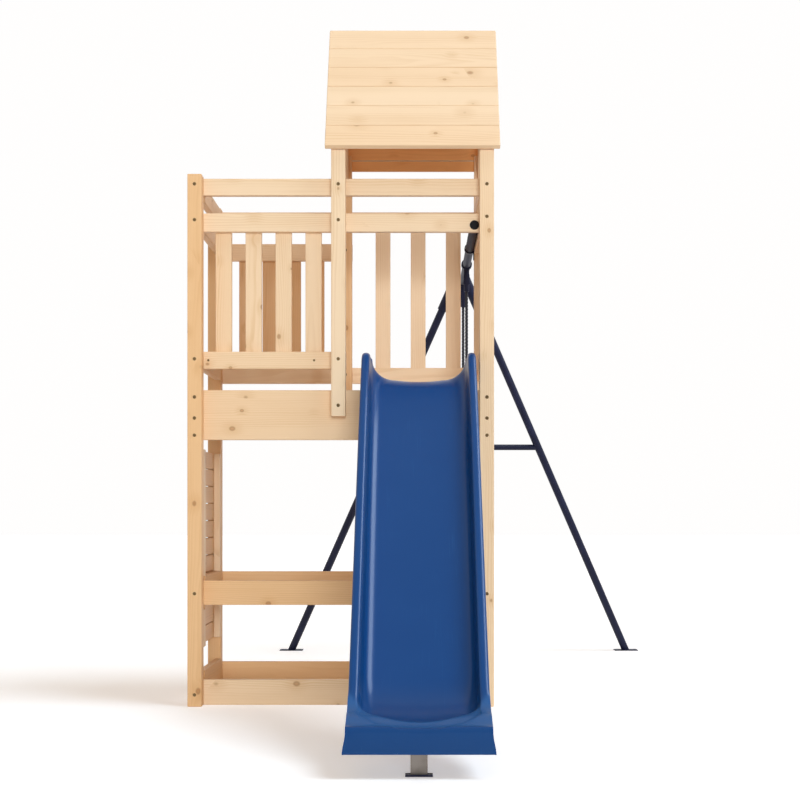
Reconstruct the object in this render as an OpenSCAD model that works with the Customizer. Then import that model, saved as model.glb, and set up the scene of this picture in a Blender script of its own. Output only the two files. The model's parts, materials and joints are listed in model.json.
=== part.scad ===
// Wooden play tower with a moulded slide and a one-seat swing on a tubular A-frame.
// X runs to the right, Y runs back from the slide and Z is up, in millimetres.
// The working zero is the outer front corner of the left front post. The finished
// part is moved so that its origin is the middle of its footprint, on the ground.

/* [Tower] */
// Width over the outer posts
tower_w = 988; // [900:1:1150]
// Distance from the front posts to the back posts, front face to front face
post_pitch = 440; // [400:1:560]
// Side of the square posts
post_s = 46; // [40:1:52]
// Width of the roofed bay over its posts
bay_w = 525; // [500:1:560]
// Height of the top of the front deck beam
deck_h = 1024; // [960:1:1100]
// How far the hung middle posts reach below the top of the deck beam
hung_drop = 88; // [70:1:110]
// How far the low posts stand above the top rail
post_over = 5; // [2:1:20]

/* [Rails] */
// Thickness of the rails and beams
rail_t = 22; // [18:1:26]
// Height of the top rail's board
top_rail_h = 55; // [45:1:65]
// Lower edge of the top rail above the deck beam
top_rail_gap = 633; // [610:1:660]
// Height of the second rail's board
second_rail_h = 60; // [52:1:70]
// Lower edge of the second rail above the deck beam
second_rail_gap = 515; // [490:1:530]
// Height of the lower rail's board
lower_rail_h = 56; // [45:1:65]
// Lower edge of the lower rail above the deck beam
lower_rail_gap = 69; // [60:1:90]
// Height of the front deck beam
deck_beam_h = 162; // [140:1:190]
// Height of the back deck beam
back_beam_h = 125; // [110:1:160]
// Height of the mid rail's board
mid_rail_h = 79; // [65:1:95]
// Lower edge of the mid rail above the ground
mid_rail_z = 325; // [300:1:360]
// Height of the bottom rail's board
bottom_rail_h = 82; // [70:1:95]
// Height of the broad side boards at deck, mid and bottom level
side_board_h = 110; // [95:1:125]
// How much lower the back top and second rails sit than the front ones
back_drop = 16; // [0:1:24]
// How much lower the back lower rail sits than the front one
back_lower_drop = 8; // [0:1:20]
// How much higher the back mid and bottom rails sit than the front ones
back_low_rise = 11; // [0:1:16]

/* [Balusters] */
// Width of a baluster
baluster_w = 53; // [45:1:60]
// Thickness of a baluster
baluster_t = 18; // [14:1:22]
// Number of balusters in the front left bay and in the back left bay
left_bay_count = 4; // [3:1:4]
// Number of balusters in the back right bay and on the right side
right_bay_count = 3; // [2:1:3]
// Spacing of the front balusters
front_pitch = 98; // [90:1:105]
// Spacing of the balusters in the back left bay
back_left_pitch = 84; // [78:1:96]
// Spacing of the balusters in the back right bay
back_right_pitch = 126; // [110:1:135]
// Spacing of the balusters on the right side
side_pitch = 104; // [95:1:115]

/* [Climbing wall] */
// Height of a board
climb_board_h = 55; // [48:1:58]
// Gap between boards
climb_gap = 4; // [2:1:6]
// Lower edge of the lowest board above the ground
climb_z = 187; // [170:1:200]
// Thickness of a board
climb_t = 18; // [14:1:21]
// Diameter of a climbing hold
hold_d = 84; // [60:1:100]
// How far a hold stands off its board
hold_h = 30; // [20:1:40]

/* [Deck] */
// Thickness of the deck boards
deck_t = 20; // [16:1:24]
// Number of deck boards
deck_count = 4; // [3:1:6]
// Gap between deck boards
deck_gap = 6; // [3:1:10]
// Height of the deck joists
joist_h = 80; // [60:1:100]

/* [Roof] */
// Height of the front eave's outer edge above the deck beam
eave_gap = 779; // [760:1:820]
// Reach of the front eave in front of the posts
eave_reach = 24; // [10:1:40]
// Pitch of the roof in degrees
roof_pitch = 59.8; // [50:0.1:62]
// Overhang of the roof boards at each side
roof_side = 19; // [8:1:40]
// Thickness of the roof boards
roof_t = 18; // [14:1:22]
// Number of boards on the front slope
roof_count = 6; // [5:1:8]
// Depth of a rafter
rafter_h = 48; // [36:1:60]

/* [Slide] */
// Width of the chute over its rims
slide_w = 362; // [330:1:376]
// Distance of the chute to the right of the bay's middle
slide_shift = 20; // [0:1:26]
// Slope of the chute in degrees
slide_pitch = 44; // [38:0.5:50]
// Height of the chute's bed above the deck beam at the lip
lip_rise = 26; // [20:1:34]
// Height of the run-out above the ground
exit_h = 118; // [100:1:160]
// Length of the run-out after the bottom curve
exit_flat = 72; // [40:1:160]
// Height of the chute's walls at the entrance
wall_top_h = 86; // [70:1:100]
// Height of the chute's walls along the slope
wall_h = 98; // [80:1:110]
// Height of the chute's walls at the end of the bottom curve
wall_run_h = 24; // [20:1:40]
// Height of the chute's walls at the exit
wall_exit_h = 12; // [6:1:16]
// Height of the apron's lower edge above the ground
apron_z = 59; // [45:1:80]
// Thickness of the moulded wall
mould_t = 6; // [5:0.5:8]
// Width of the slide's steel leg
slide_leg_w = 41; // [30:1:50]

/* [Swing frame] */
// Outer diameter of the swing beam
beam_d = 30; // [28:1:38]
// Height of the beam's axis above the deck beam
beam_gap = 537; // [533:1:545]
// Distance from the front plane to the A-frame's end of the beam
beam_reach = 1580; // [1450:1:1700]
// Outer diameter of the A-frame's legs
leg_d = 32; // [26:1:36]
// Half the spread of the feet
foot_spread = 756; // [680:1:820]
// Distance by which the feet stand behind the head
foot_lean = 320; // [200:1:380]
// Height above the beam's axis at which the legs' axes cross
cross_rise = 113; // [100:1:130]
// Height of the crossbar above the ground
crossbar_z = 910; // [700:1:1000]
// Diameter of the crossbar
crossbar_d = 25; // [20:1:30]
// Wall of the steel tubes
tube_t = 2; // [1.5:0.1:3]

/* [Swing] */
// Distance from the front plane to the middle of the seat
seat_y = 985; // [900:1:1040]
// Spacing of the two ropes
rope_pitch = 400; // [360:1:440]
// Diameter of a rope
rope_d = 12; // [10:1:14]
// Height of the seat's top above the ground
seat_h = 460; // [350:1:520]
// Length of the seat
seat_l = 460; // [450:1:500]
// Width of the seat
seat_w = 160; // [130:1:180]
// Thickness of the seat
seat_t = 20; // [16:1:26]

/* [Fixings] */
// Shank diameter of the frame bolts
bolt_d = 8; // [6:1:10]
// Diameter of the anchor holes in the foot plates
anchor_d = 10; // [8:1:12]

/* [Hidden] */
$fn = 32;

// Colours of the finishes
pine = "BurlyWood";
shaded_pine = "Tan";
plastic_blue = "RoyalBlue";
tube_black = "MidnightBlue";
leg_grey = "Gray";

// One overrun serves every cut
over = 2;
// Gap left between pieces that would otherwise share a curved face
seat_gap = 0.3;
// Radial play of a pin that turns in its hole
pin_play = 0.05;

// Places of the posts and rails
mid_x = tower_w - bay_w;
right_x = tower_w - post_s;
inside_y = post_s + rail_t;
back_rail_y = post_pitch + post_s;
back_y = back_rail_y + rail_t;
left_rail_x = post_s - rail_t;
bay_mid_x = mid_x + bay_w / 2;
left_bay_mid_x = (post_s + mid_x) / 2;

// Heights of the guard rails
top_z = deck_h + top_rail_gap;
second_z = deck_h + second_rail_gap;
lower_z = deck_h + lower_rail_gap;
hung_z = deck_h - hung_drop;
low_post_h = top_z + top_rail_h + post_over;
deck_low_z = deck_h - deck_beam_h;
back_beam_z = deck_h - back_beam_h;
// How far the deck's surface lies below the top of its beam
deck_sink = 4;
deck_under_z = deck_h - deck_sink - deck_t;
side_beam_z = deck_under_z - side_board_h;
// The broad side board at mid level is centred on the mid rail
side_mid_z = mid_rail_z + (mid_rail_h - side_board_h) / 2;

// Roof: outer faces meet at the ridge above the middle between the posts
eave_z = deck_h + eave_gap;
ridge_y = (post_pitch + post_s) / 2;
roof_rise = tan(roof_pitch);
ridge_z = eave_z + (ridge_y + eave_reach) * roof_rise;
front_slope = (ridge_y + eave_reach) / cos(roof_pitch);
back_slope = ridge_y / cos(roof_pitch);
roof_board = front_slope / roof_count;
roof_board_gap = 1.2;
// A last board narrower than this isn't made
sliver = 4;
roof_drop = roof_t / cos(roof_pitch);
roof_x = mid_x - roof_side;
roof_w = bay_w + 2 * roof_side;
// Height of the underside of the roof over a place in front of or behind the ridge
function under_roof_z(y) = ridge_z - roof_drop - abs(y - ridge_y) * roof_rise;

// Frame bolts: a round head sunk in the post, a shank that ends inside the rail
bolt_play = 0.3;
bolt_hole_d = bolt_d + 2 * bolt_play;
bolt_head_share = 1.35;
bolt_height_share = 0.6;
bolt_key_share = 0.65;
bolt_head_d = bolt_d * bolt_head_share;
bolt_head_h = bolt_d * bolt_height_share;
bolt_key_d = bolt_d * bolt_key_share;
bolt_key_depth = bolt_head_h * bolt_height_share;
sink_play = 0.6;
sink_d = bolt_head_d + 2 * sink_play;
sink_depth = bolt_head_h + sink_play;
rail_bite_share = 0.75;
rail_bite = rail_t * rail_bite_share;

// Shares of the deck beam's height at which its bolts sit
deck_bolt_shares = [0.08, 0.42, 0.84];
hung_bolt_share = 0.4;
right_bolt_share = 0.68;
bottom_bolt_share = 0.47;
deck_bolt_zs = [for (s = deck_bolt_shares) deck_low_z + s * deck_beam_h];
back_deck_bolt_zs = [for (s = deck_bolt_shares) back_beam_z + s * back_beam_h];
low_bolt_zs = [mid_rail_z + mid_rail_h / 2, bottom_rail_h * bottom_bolt_share];
back_low_bolt_zs = [for (z = low_bolt_zs) z + back_low_rise];
top_bolt_z = top_z + top_rail_h / 2;
second_bolt_z = second_z + second_rail_h / 2;
right_second_bolt_z = second_z + second_rail_h * right_bolt_share;
lower_bolt_z = lower_z + lower_rail_h / 2;
back_top_bolt_z = top_bolt_z - back_drop;
back_second_bolt_z = second_bolt_z - back_drop;
back_lower_bolt_z = lower_bolt_z - back_lower_drop;
hung_bolt_z = hung_z + hung_drop * hung_bolt_share;
// The middle of each post, and the heights of the bolts in it
post_mids = [post_s / 2, mid_x + post_s / 2, right_x + post_s / 2];
front_bolt_zs = [
    concat([top_bolt_z, second_bolt_z, lower_bolt_z], deck_bolt_zs, low_bolt_zs),
    [top_bolt_z, second_bolt_z, lower_bolt_z, hung_bolt_z],
    concat([top_bolt_z, right_second_bolt_z], deck_bolt_zs, low_bolt_zs)
];
back_bolt_zs = [
    concat([back_top_bolt_z, back_second_bolt_z, back_lower_bolt_z], back_deck_bolt_zs, back_low_bolt_zs),
    [back_top_bolt_z, back_second_bolt_z, back_lower_bolt_z, hung_bolt_z],
    concat([back_top_bolt_z, back_lower_bolt_z], back_deck_bolt_zs, back_low_bolt_zs)
];
function bolts(zs) = [for (i = [0 : len(post_mids) - 1]) for (z = zs[i]) [post_mids[i], z]];
front_bolts = bolts(front_bolt_zs);
back_bolts = bolts(back_bolt_zs);
function within(list, x0, x1, z0, z1) =
    [for (b = list) if (b[0] > x0 && b[0] < x1 && b[1] > z0 && b[1] < z1) b];

// Balusters lap both rails that hold them by this much less than the full rail
baluster_inset = 8;

// Climbing wall
climb_pitch = climb_board_h + climb_gap;
// As many boards as fit below the deck's beams
climb_count = floor((min(deck_low_z, side_beam_z) - climb_z + climb_gap) / climb_pitch);
climb_top_z = climb_z + climb_count * climb_pitch - climb_gap;
cleat_s = 24;
wall_play = 1;
hold_column_shares = [0.44, 0.74];
hold_rows = [for (i = [1 : 2 : climb_count - 2]) i];
hold_lip = 6;
hold_crown_share = 0.42;
hold_dish = 5;
hold_bolt_d = 9;

// Deck
deck_y0 = inside_y + wall_play;
deck_y1 = post_pitch - wall_play;
deck_board_w = (deck_y1 - deck_y0 - (deck_count - 1) * deck_gap) / deck_count;
deck_side = 4;
joist_shares = [0.33, 0.66];

// Slide: the bed's course in the plane of Y and Z
slide_x = bay_mid_x + slide_shift;
slide_half = slide_w / 2;
lip_z = deck_h + lip_rise;
// How far the lip stays back from the deck's edge and stands before the beam
lip_set = 2;
lip_end_y = inside_y - lip_set;
lip_front_y = post_s - lip_set;
crest_y = -10;
crest_r = 120;
run_r = 300;
exit_pitch = 2;
run_end_z = exit_h + exit_flat * tan(exit_pitch);
straight_l = (lip_z - run_end_z - crest_r * (1 - cos(slide_pitch))
              - run_r * (cos(exit_pitch) - cos(slide_pitch))) / sin(slide_pitch);
crest_end = [crest_y - crest_r * sin(slide_pitch), lip_z - crest_r * (1 - cos(slide_pitch))];
straight_end = crest_end - straight_l * [cos(slide_pitch), sin(slide_pitch)];
run_end = straight_end - run_r * [sin(slide_pitch) - sin(exit_pitch),
                                  cos(exit_pitch) - cos(slide_pitch)];
slide_reach = exit_flat - run_end[0];
// The apron turns down over a nose and runs straight to its lower edge
apron_pitch = 82;
nose_r = 12;
nose_end = [-slide_reach - nose_r * (sin(apron_pitch) - sin(exit_pitch)),
            exit_h - nose_r * (cos(exit_pitch) - cos(apron_pitch))];
slide_end = (nose_end[1] - apron_z) / tan(apron_pitch) - nose_end[0];
exit_narrow = 6;
apron_flare = 7;
crest_steps = 5;
straight_steps = 4;
run_steps = 7;
lip_steps = 5;
nose_steps = 4;
// Before the exit the bed rises towards its rims to a lip, earlier at the sides by the bow
exit_lip_set = 33;
exit_lip_bow = 46;
exit_lip_share = 0.65;
nose_share = 0.5;
lip_wall_share = 0.5;
lip_front_wall_share = 0.85;

// Slide: the section across the bed
rim_r = 13;
floor_fillet = 36;
wall_lean = 6;
dish = 5;
skirt_drop = 34;
// At the apron's edge the skirt ends flush with the underside
edge_drop = mould_t * cos(apron_pitch);
rim_steps = 8;
rim_square_share = 0.6;
fillet_steps = 4;
floor_shares = [0, 0.35, 0.7];
rim_limit_share = 0.45;
wall_limit_share = 0.6;
fillet_limit_share = 0.9;

// Slide: leg, foot and screws
leg_set = 26;
strip_t = 4;
flange_l = exit_flat - leg_set;
foot_w = 66;
foot_d = 32;
foot_t = 4;
foot_front = 7;
foot_hole_pitch = 40;
foot_hole_set = 14;
screw_shares = [-1, 0, 1];
screw_half = 80;
screw_dish_share = 0.7;
screw_head_d = 11;
screw_head_h = 4;
screw_d = 5;
screw_l = 60;

// Swing frame
beam_play = 0.4;
beam_r = beam_d / 2;
beam_x = right_x - beam_r - beam_play;
beam_z = deck_h + beam_gap;
cap_t = 4;
cap_plug = 18;
head_set = 70;
head_y = beam_reach - head_set;
cross_z = beam_z + cross_rise;
leg_r = leg_d / 2;
leg_run = [foot_spread, foot_lean, cross_z];
leg_l = norm(leg_run);
plate_t = 3;
plate_w = 104;
plate_d = 60;
anchor_pitch = 76;
// How far below the crossing of the axes the legs begin, along each leg
leg_start_share = 1.62;
leg_start = leg_d * leg_start_share;
socket_wall = 4;
socket_l = 150;
sleeve_l = 64;
web_t = 10;
strap_t = 3;
saddle_w = 24;
saddle_flange = 30;
saddle_flange_share = 0.24;

// Swing
hanger_wall = 5;
hanger_w = 30;
lug_t = 10;
lug_drop = 22;
lug_r = 10;
pin_d = 10;
ear_t = 5;
ear_r = 11;
ear_gap = 0.4;
clevis_l = 34;
bridge_t = 6;
pin_over = 2;
rope_stop = 4;
rope_tail = 22;
socket_h = 26;
socket_d = 20;
pivot_z = beam_z - beam_r - hanger_wall - lug_drop;
hanger_ys = [seat_y - rope_pitch / 2, seat_y + rope_pitch / 2];
rope_hole_play = 0.5;
knot_d = 30;
seat_corner_r = 30;

// Middle of the footprint
x_low = left_rail_x - climb_t - hold_h;
x_high = beam_x + foot_spread + plate_w / 2;
y_low = -slide_end;
y_high = head_y + foot_lean + plate_d / 2;
origin = [(x_low + x_high) / 2, (y_low + y_high) / 2, 0];

// A box between two corners
module box(low, high) {
    translate(low) cube(high - low);
}

// Cylinders along Y at places given as [x, z]
module rods_y(list, y, d, l) {
    for (b = list)
        translate([b[0], y, b[1]]) rotate([-90, 0, 0]) cylinder(d = d, h = l);
}

module placed() {
    translate(-origin) children();
}

// A post with its bolt holes; y is its front face
module post(x, y, z, top, list) {
    holes = within(list, x, x + post_s, z, top);
    placed() color(pine) difference() {
        box([x, y, z], [x + post_s, y + post_s, top]);
        rods_y(holes, y - over, bolt_hole_d, post_s + 2 * over);
        rods_y(holes, y - over, sink_d, sink_depth + over);
    }
}

// A post whose top is cut to the roof's slope
module roof_post(x, y, z, list) {
    top = under_roof_z(y);
    far_top = under_roof_z(y + post_s);
    holes = within(list, x, x + post_s, z, top);
    placed() color(pine) difference() {
        translate([x, 0, 0]) rotate([90, 0, 90]) linear_extrude(post_s)
            polygon([[y, z], [y + post_s, z], [y + post_s, far_top], [y, top]]);
        rods_y(holes, y - over, bolt_hole_d, post_s + 2 * over);
        rods_y(holes, y - over, sink_d, sink_depth + over);
    }
}

// A rail along X, bolted to the posts in front of it
module long_rail(x0, x1, y, z, h, list) {
    color(pine) difference() {
        box([x0, y, z], [x1, y + rail_t, z + h]);
        rods_y(within(list, x0, x1, z, z + h), y - over, bolt_hole_d, rail_bite + over + bolt_play);
    }
}

module front_rail(x1, z, h) {
    placed() long_rail(0, x1, post_s, z, h, front_bolts);
}

module back_rail(x1, z, h) {
    placed() long_rail(0, x1, back_rail_y, z, h, back_bolts);
}

// A side rail along Y, between the front rails and the back posts
module side_rail(x, z, h) {
    placed() color(shaded_pine) box([x, inside_y, z], [x + rail_t, post_pitch, z + h]);
}

// Upright balusters in a row along X, centred on x
module baluster_row(x, y, count, pitch, z0, z1) {
    first = x - (count - 1) * pitch / 2 - baluster_w / 2;
    placed() color(shaded_pine) for (i = [0 : count - 1])
        box([first + i * pitch, y, z0], [first + i * pitch + baluster_w, y + baluster_t, z1]);
}

module left_front_post() { post(0, 0, 0, low_post_h, front_bolts); }
module left_back_post() { post(0, post_pitch, 0, low_post_h - back_drop, back_bolts); }
module middle_front_post() { roof_post(mid_x, 0, hung_z, front_bolts); }
module middle_back_post() { roof_post(mid_x, post_pitch, hung_z, back_bolts); }
module right_front_post() { roof_post(right_x, 0, 0, front_bolts); }
module right_back_post() { roof_post(right_x, post_pitch, 0, back_bolts); }

module front_top_rail() { front_rail(tower_w, top_z, top_rail_h); }

// The swing beam passes through the second rail
module front_second_rail() {
    difference() {
        front_rail(tower_w, second_z, second_rail_h);
        placed() rods_y([[beam_x, beam_z]], post_s - over, beam_d + 2 * beam_play, rail_t + 2 * over);
    }
}

module front_lower_rail() { front_rail(mid_x + post_s, lower_z, lower_rail_h); }
module front_deck_beam() { front_rail(tower_w, deck_low_z, deck_beam_h); }
module front_mid_rail() { front_rail(tower_w, mid_rail_z, mid_rail_h); }
module front_bottom_rail() { front_rail(tower_w, 0, bottom_rail_h); }

module back_top_rail() { back_rail(tower_w, top_z - back_drop, top_rail_h); }
module back_second_rail() { back_rail(mid_x + post_s, second_z - back_drop, second_rail_h); }
module back_lower_rail() { back_rail(tower_w, lower_z - back_lower_drop, lower_rail_h); }
module back_deck_beam() { back_rail(tower_w, back_beam_z, back_beam_h); }
module back_mid_rail() { back_rail(tower_w, mid_rail_z + back_low_rise, mid_rail_h); }
module back_bottom_rail() { back_rail(tower_w, back_low_rise, bottom_rail_h); }

module left_top_rail() { side_rail(left_rail_x, top_z - back_drop, top_rail_h); }
module left_second_rail() { side_rail(left_rail_x, second_z, second_rail_h); }
module left_lower_rail() { side_rail(left_rail_x, lower_z, lower_rail_h); }
module left_deck_beam() { side_rail(left_rail_x, side_beam_z, side_board_h); }
module left_mid_rail() { side_rail(left_rail_x, side_mid_z, side_board_h); }
module left_bottom_rail() { side_rail(left_rail_x, 0, side_board_h); }

module right_top_rail() { side_rail(right_x, top_z, top_rail_h); }
module right_second_rail() { side_rail(right_x, second_z, second_rail_h); }
module right_lower_rail() { side_rail(right_x, lower_z, lower_rail_h); }
module right_deck_beam() { side_rail(right_x, side_beam_z, side_board_h); }
module right_mid_rail() { side_rail(right_x, side_mid_z, side_board_h); }
module right_bottom_rail() { side_rail(right_x, 0, side_board_h); }

module front_balusters() {
    baluster_row(left_bay_mid_x, inside_y, left_bay_count, front_pitch, lower_z + baluster_inset,
                 second_z + second_rail_h - baluster_inset);
}

module back_left_balusters() {
    baluster_row(left_bay_mid_x, back_y, left_bay_count, back_left_pitch,
                 lower_z - back_lower_drop + baluster_inset,
                 second_z - back_drop + second_rail_h - baluster_inset);
}

module back_right_balusters() {
    baluster_row(bay_mid_x + baluster_t, back_y, right_bay_count, back_right_pitch,
                 lower_z - back_lower_drop + baluster_inset,
                 top_z - back_drop + top_rail_h - baluster_inset);
}

// On the right side the balusters stand outside the side rails
module right_balusters() {
    first = (inside_y + post_pitch - (right_bay_count - 1) * side_pitch - baluster_w) / 2;
    placed() color(shaded_pine) for (i = [0 : right_bay_count - 1])
        box([right_x + rail_t, first + i * side_pitch, lower_z + baluster_inset],
            [right_x + rail_t + baluster_t, first + i * side_pitch + baluster_w,
             second_z + second_rail_h - baluster_inset]);
}

module climbing_boards() {
    placed() color(pine) for (i = [0 : climb_count - 1])
        box([left_rail_x - climb_t, inside_y + wall_play, climb_z + i * climb_pitch],
            [left_rail_x, post_pitch - wall_play, climb_z + i * climb_pitch + climb_board_h]);
}

// Upright cleats against the posts, above and below the mid rail, carry the boards
module climbing_cleats() {
    placed() color(shaded_pine)
        for (y = [[post_s, inside_y + cleat_s], [post_pitch - cleat_s, post_pitch]])
            for (z = [[climb_z, side_mid_z], [side_mid_z + side_board_h, climb_top_z]])
                box([left_rail_x, y[0], z[0]], [left_rail_x + rail_t, y[1], z[1]]);
}

// Round holds with a dished grip, bolted to every second board in two staggered columns
module climbing_holds() {
    placed() color(plastic_blue) for (i = [0 : len(hold_rows) - 1])
        translate([left_rail_x - climb_t, post_pitch * hold_column_shares[i % 2],
                   climb_z + hold_rows[i] * climb_pitch + climb_board_h / 2])
            rotate([0, -90, 0]) climbing_hold();
}

module climbing_hold() {
    r = hold_d / 2;
    crown = r * hold_crown_share;
    rotate_extrude() polygon(concat(
        [[0, 0], [r, 0]],
        [for (a = [0 : 15 : 90])
            [crown + (r - crown) * cos(a), hold_lip + (hold_h - hold_lip) * sin(a)]],
        [[hold_bolt_d, hold_h - hold_dish], [0, hold_h - hold_dish]]));
}

// Boards along the deck, and short ones between the back posts
module deck_boards() {
    z0 = deck_under_z;
    z1 = deck_under_z + deck_t;
    step = deck_board_w + deck_gap;
    placed() color(pine) {
        for (i = [0 : deck_count - 1])
            box([deck_side, deck_y0 + i * step, z0],
                [tower_w - deck_side, deck_y0 + i * step + deck_board_w, z1]);
        for (span = [[post_s, mid_x], [mid_x + post_s, right_x]])
            box([span[0] + wall_play, post_pitch + deck_gap, z0],
                [span[1] - wall_play, back_rail_y - wall_play, z1]);
    }
}

module deck_joists() {
    placed() color(shaded_pine) for (s = joist_shares)
        box([tower_w * s, inside_y, deck_under_z - joist_h],
            [tower_w * s + rail_t, back_rail_y, deck_under_z]);
}

// Boards from the ridge down one slope, the first mitred where the slopes meet.
// The side is -1 for the front and 1 for the back.
module roof_slope(side, slope) {
    count = ceil((slope - sliver) / roof_board);
    placed() color(pine) for (i = [0 : count - 1]) {
        a = i * roof_board + (i == 0 ? 0 : roof_board_gap);
        b = min((i + 1) * roof_board, slope);
        translate([roof_x, ridge_y, ridge_z]) rotate([90, 0, 90]) linear_extrude(roof_w)
            polygon([
                roof_point(side, a, 0), roof_point(side, b, 0), roof_point(side, b, roof_t),
                roof_point(side, a + (i == 0 ? roof_t * roof_rise : 0), roof_t)
            ]);
    }
}

// A place on the slope, at a distance down from the ridge and a depth below the outer face
function roof_point(side, down, depth) =
    [side * (down * cos(roof_pitch) - depth * sin(roof_pitch)),
     -down * sin(roof_pitch) - depth * cos(roof_pitch)];

module roof_front_boards() { roof_slope(-1, front_slope); }
module roof_back_boards() { roof_slope(1, back_slope); }

// A rafter pair in line with the posts at each end of the roof, under the boards.
// Each rafter is cut upright at the ridge and against its post.
module roof_rafters() {
    drop = rafter_h / cos(roof_pitch);
    placed() color(shaded_pine)
        for (x = [mid_x, right_x])
            for (y = [[post_s, ridge_y - seat_gap], [post_pitch, ridge_y + seat_gap]])
                translate([x + (post_s - rail_t) / 2, 0, 0]) rotate([90, 0, 90]) linear_extrude(rail_t)
                    polygon([
                        [y[0], under_roof_z(y[0])], [y[1], under_roof_z(y[1])],
                        [y[1], under_roof_z(y[1]) - drop], [y[0], under_roof_z(y[0]) - drop]
                    ]);
}

// Stations down the chute: place along Y, height and slope of the bed, thickness, drop of the skirt
chute_stations = concat(
    [for (y = [lip_end_y, lip_front_y]) [y, lip_z, 0, lip_rise - dish, lip_rise]],
    [for (y = [lip_front_y - lip_set, crest_y]) [y, lip_z, 0, mould_t, skirt_drop]],
    [for (i = [1 : crest_steps]) let (a = slide_pitch * i / crest_steps)
        [crest_y - crest_r * sin(a), lip_z - crest_r * (1 - cos(a)), a, mould_t, skirt_drop]],
    [for (i = [1 : straight_steps]) let (p = crest_end + (straight_end - crest_end) * i / straight_steps)
        [p[0], p[1], slide_pitch, mould_t, skirt_drop]],
    [for (i = [1 : run_steps]) let (a = slide_pitch + (exit_pitch - slide_pitch) * i / run_steps)
        [straight_end[0] - run_r * (sin(slide_pitch) - sin(a)),
         straight_end[1] - run_r * (cos(a) - cos(slide_pitch)), a, mould_t, skirt_drop]],
    [for (i = [1 : lip_steps]) let (y = run_end[0] - exit_flat * i / lip_steps)
        [y, run_out_z(y), exit_pitch, mould_t, skirt_drop]],
    [for (i = [1 : nose_steps]) let (s = i / nose_steps, a = exit_pitch + (apron_pitch - exit_pitch) * s)
        [-slide_reach - nose_r * (sin(a) - sin(exit_pitch)),
         exit_h - nose_r * (cos(exit_pitch) - cos(a)), a, mould_t,
         skirt_drop + (edge_drop - skirt_drop) * s * nose_share]],
    [[-slide_end, apron_z, apron_pitch, mould_t, edge_drop]]
);
function run_out_z(y) = exit_h + (y + slide_reach) * tan(exit_pitch);

// Along Y: height of the walls above the bed, half the width, and how far the bed has risen
chute_wall_hs = [
    [-slide_end, 0], [-slide_reach, wall_exit_h], [run_end[0], wall_run_h], [straight_end[0], wall_h],
    [crest_end[0], wall_h], [crest_y, wall_top_h], [lip_front_y, wall_top_h * lip_front_wall_share],
    [lip_end_y, wall_top_h * lip_wall_share]
];
chute_halves = [
    [-slide_end, slide_half - exit_narrow + apron_flare], [nose_end[0], slide_half - exit_narrow],
    [-slide_reach, slide_half - exit_narrow], [crest_end[0], slide_half]
];
chute_lift_shares = [
    [-slide_end, 1], [nose_end[0], nose_share], [-slide_reach, nose_share],
    [-slide_reach + exit_lip_set, exit_lip_share], [run_end[0], 0]
];
function lift(y, u, half) = lookup(y - exit_lip_bow * u * u / half / half, chute_lift_shares);

// Underside of the run-out in the middle of the bed
function under_bed(y) =
    let (h = lookup(y, chute_wall_hs)) run_out_z(y) - dish - mould_t + lift(y, 0, slide_half) * (h + dish);

// A rim's outline: a half round with its top flattened
function squared(x) = sign(x) * pow(abs(x), rim_square_share);
function rim(u, v, r, h) =
    [for (i = [0 : rim_steps]) let (a = 180 - 180 * i / rim_steps)
        [u + r * squared(cos(a)), v + h * squared(sin(a))]];

// Half of the chute's upper outline, from the middle of the bed to the rim
function chute_upper(half, h, rim_h) =
    let (floor_u = half - wall_lean - 2 * rim_r - floor_fillet,
         fillet_h = min(floor_fillet, (h - rim_h) * fillet_limit_share))
    concat(
        [for (s = floor_shares) [floor_u * s, -dish * (1 - s * s)]],
        [for (i = [0 : fillet_steps]) let (a = 90 * i / fillet_steps)
            [floor_u + floor_fillet * sin(a), fillet_h * (1 - cos(a))]],
        rim(half - rim_r, h - rim_h, rim_r, rim_h));

// The same half outline on the underside, one wall away; t is the bed's thickness upright
function chute_lower(half, h, rim_h, t) =
    let (floor_u = half - wall_lean - 2 * rim_r - floor_fillet,
         fillet_h = min(floor_fillet, (h - rim_h) * fillet_limit_share),
         inner_h = rim_h - min(mould_t, rim_h * wall_limit_share))
    concat(
        [for (s = floor_shares) [floor_u * s, -dish - t]],
        [for (i = [0 : fillet_steps]) let (a = 90 * i / fillet_steps)
            [floor_u + (floor_fillet + mould_t) * sin(a), fillet_h - (fillet_h + t + dish) * cos(a)]],
        rim(half - rim_r, h - rim_h, rim_r - mould_t, inner_h));

// A half outline mirrored to the whole, from left to right
function whole(list) =
    concat([for (i = [len(list) - 1 : -1 : 1]) [-list[i][0], list[i][1]]], list);

// The points of one station: the upper outline, then the lower one, set square to the bed.
// Each ends at the foot of the skirt.
function chute_ring(s) =
    let (half = lookup(s[0], chute_halves),
         h = lookup(s[0], chute_wall_hs),
         rim_h = min(rim_r, h * rim_limit_share),
         t = s[3] * cos(s[2]),
         upper = [for (p = chute_upper(half, h, rim_h)) [p[0], p[1] + lift(s[0], p[0], half) * (h - p[1])]],
         lower = [for (p = chute_lower(half, h, rim_h, t))
                  [p[0], p[1] + lift(s[0], p[0], half) * (h - t - p[1])]])
    concat([for (p = whole(concat(upper, [[half, -s[4]]]))) [slide_x + p[0], s[0], s[1] + p[1]]],
           [for (p = whole(concat(lower, [[half - mould_t, -s[4]]])))
               [slide_x + p[0], s[0] + s[3] * sin(s[2]), s[1] + p[1]]]);

function split_quad(q) = [[q[0], q[1], q[2]], [q[0], q[2], q[3]]];

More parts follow.
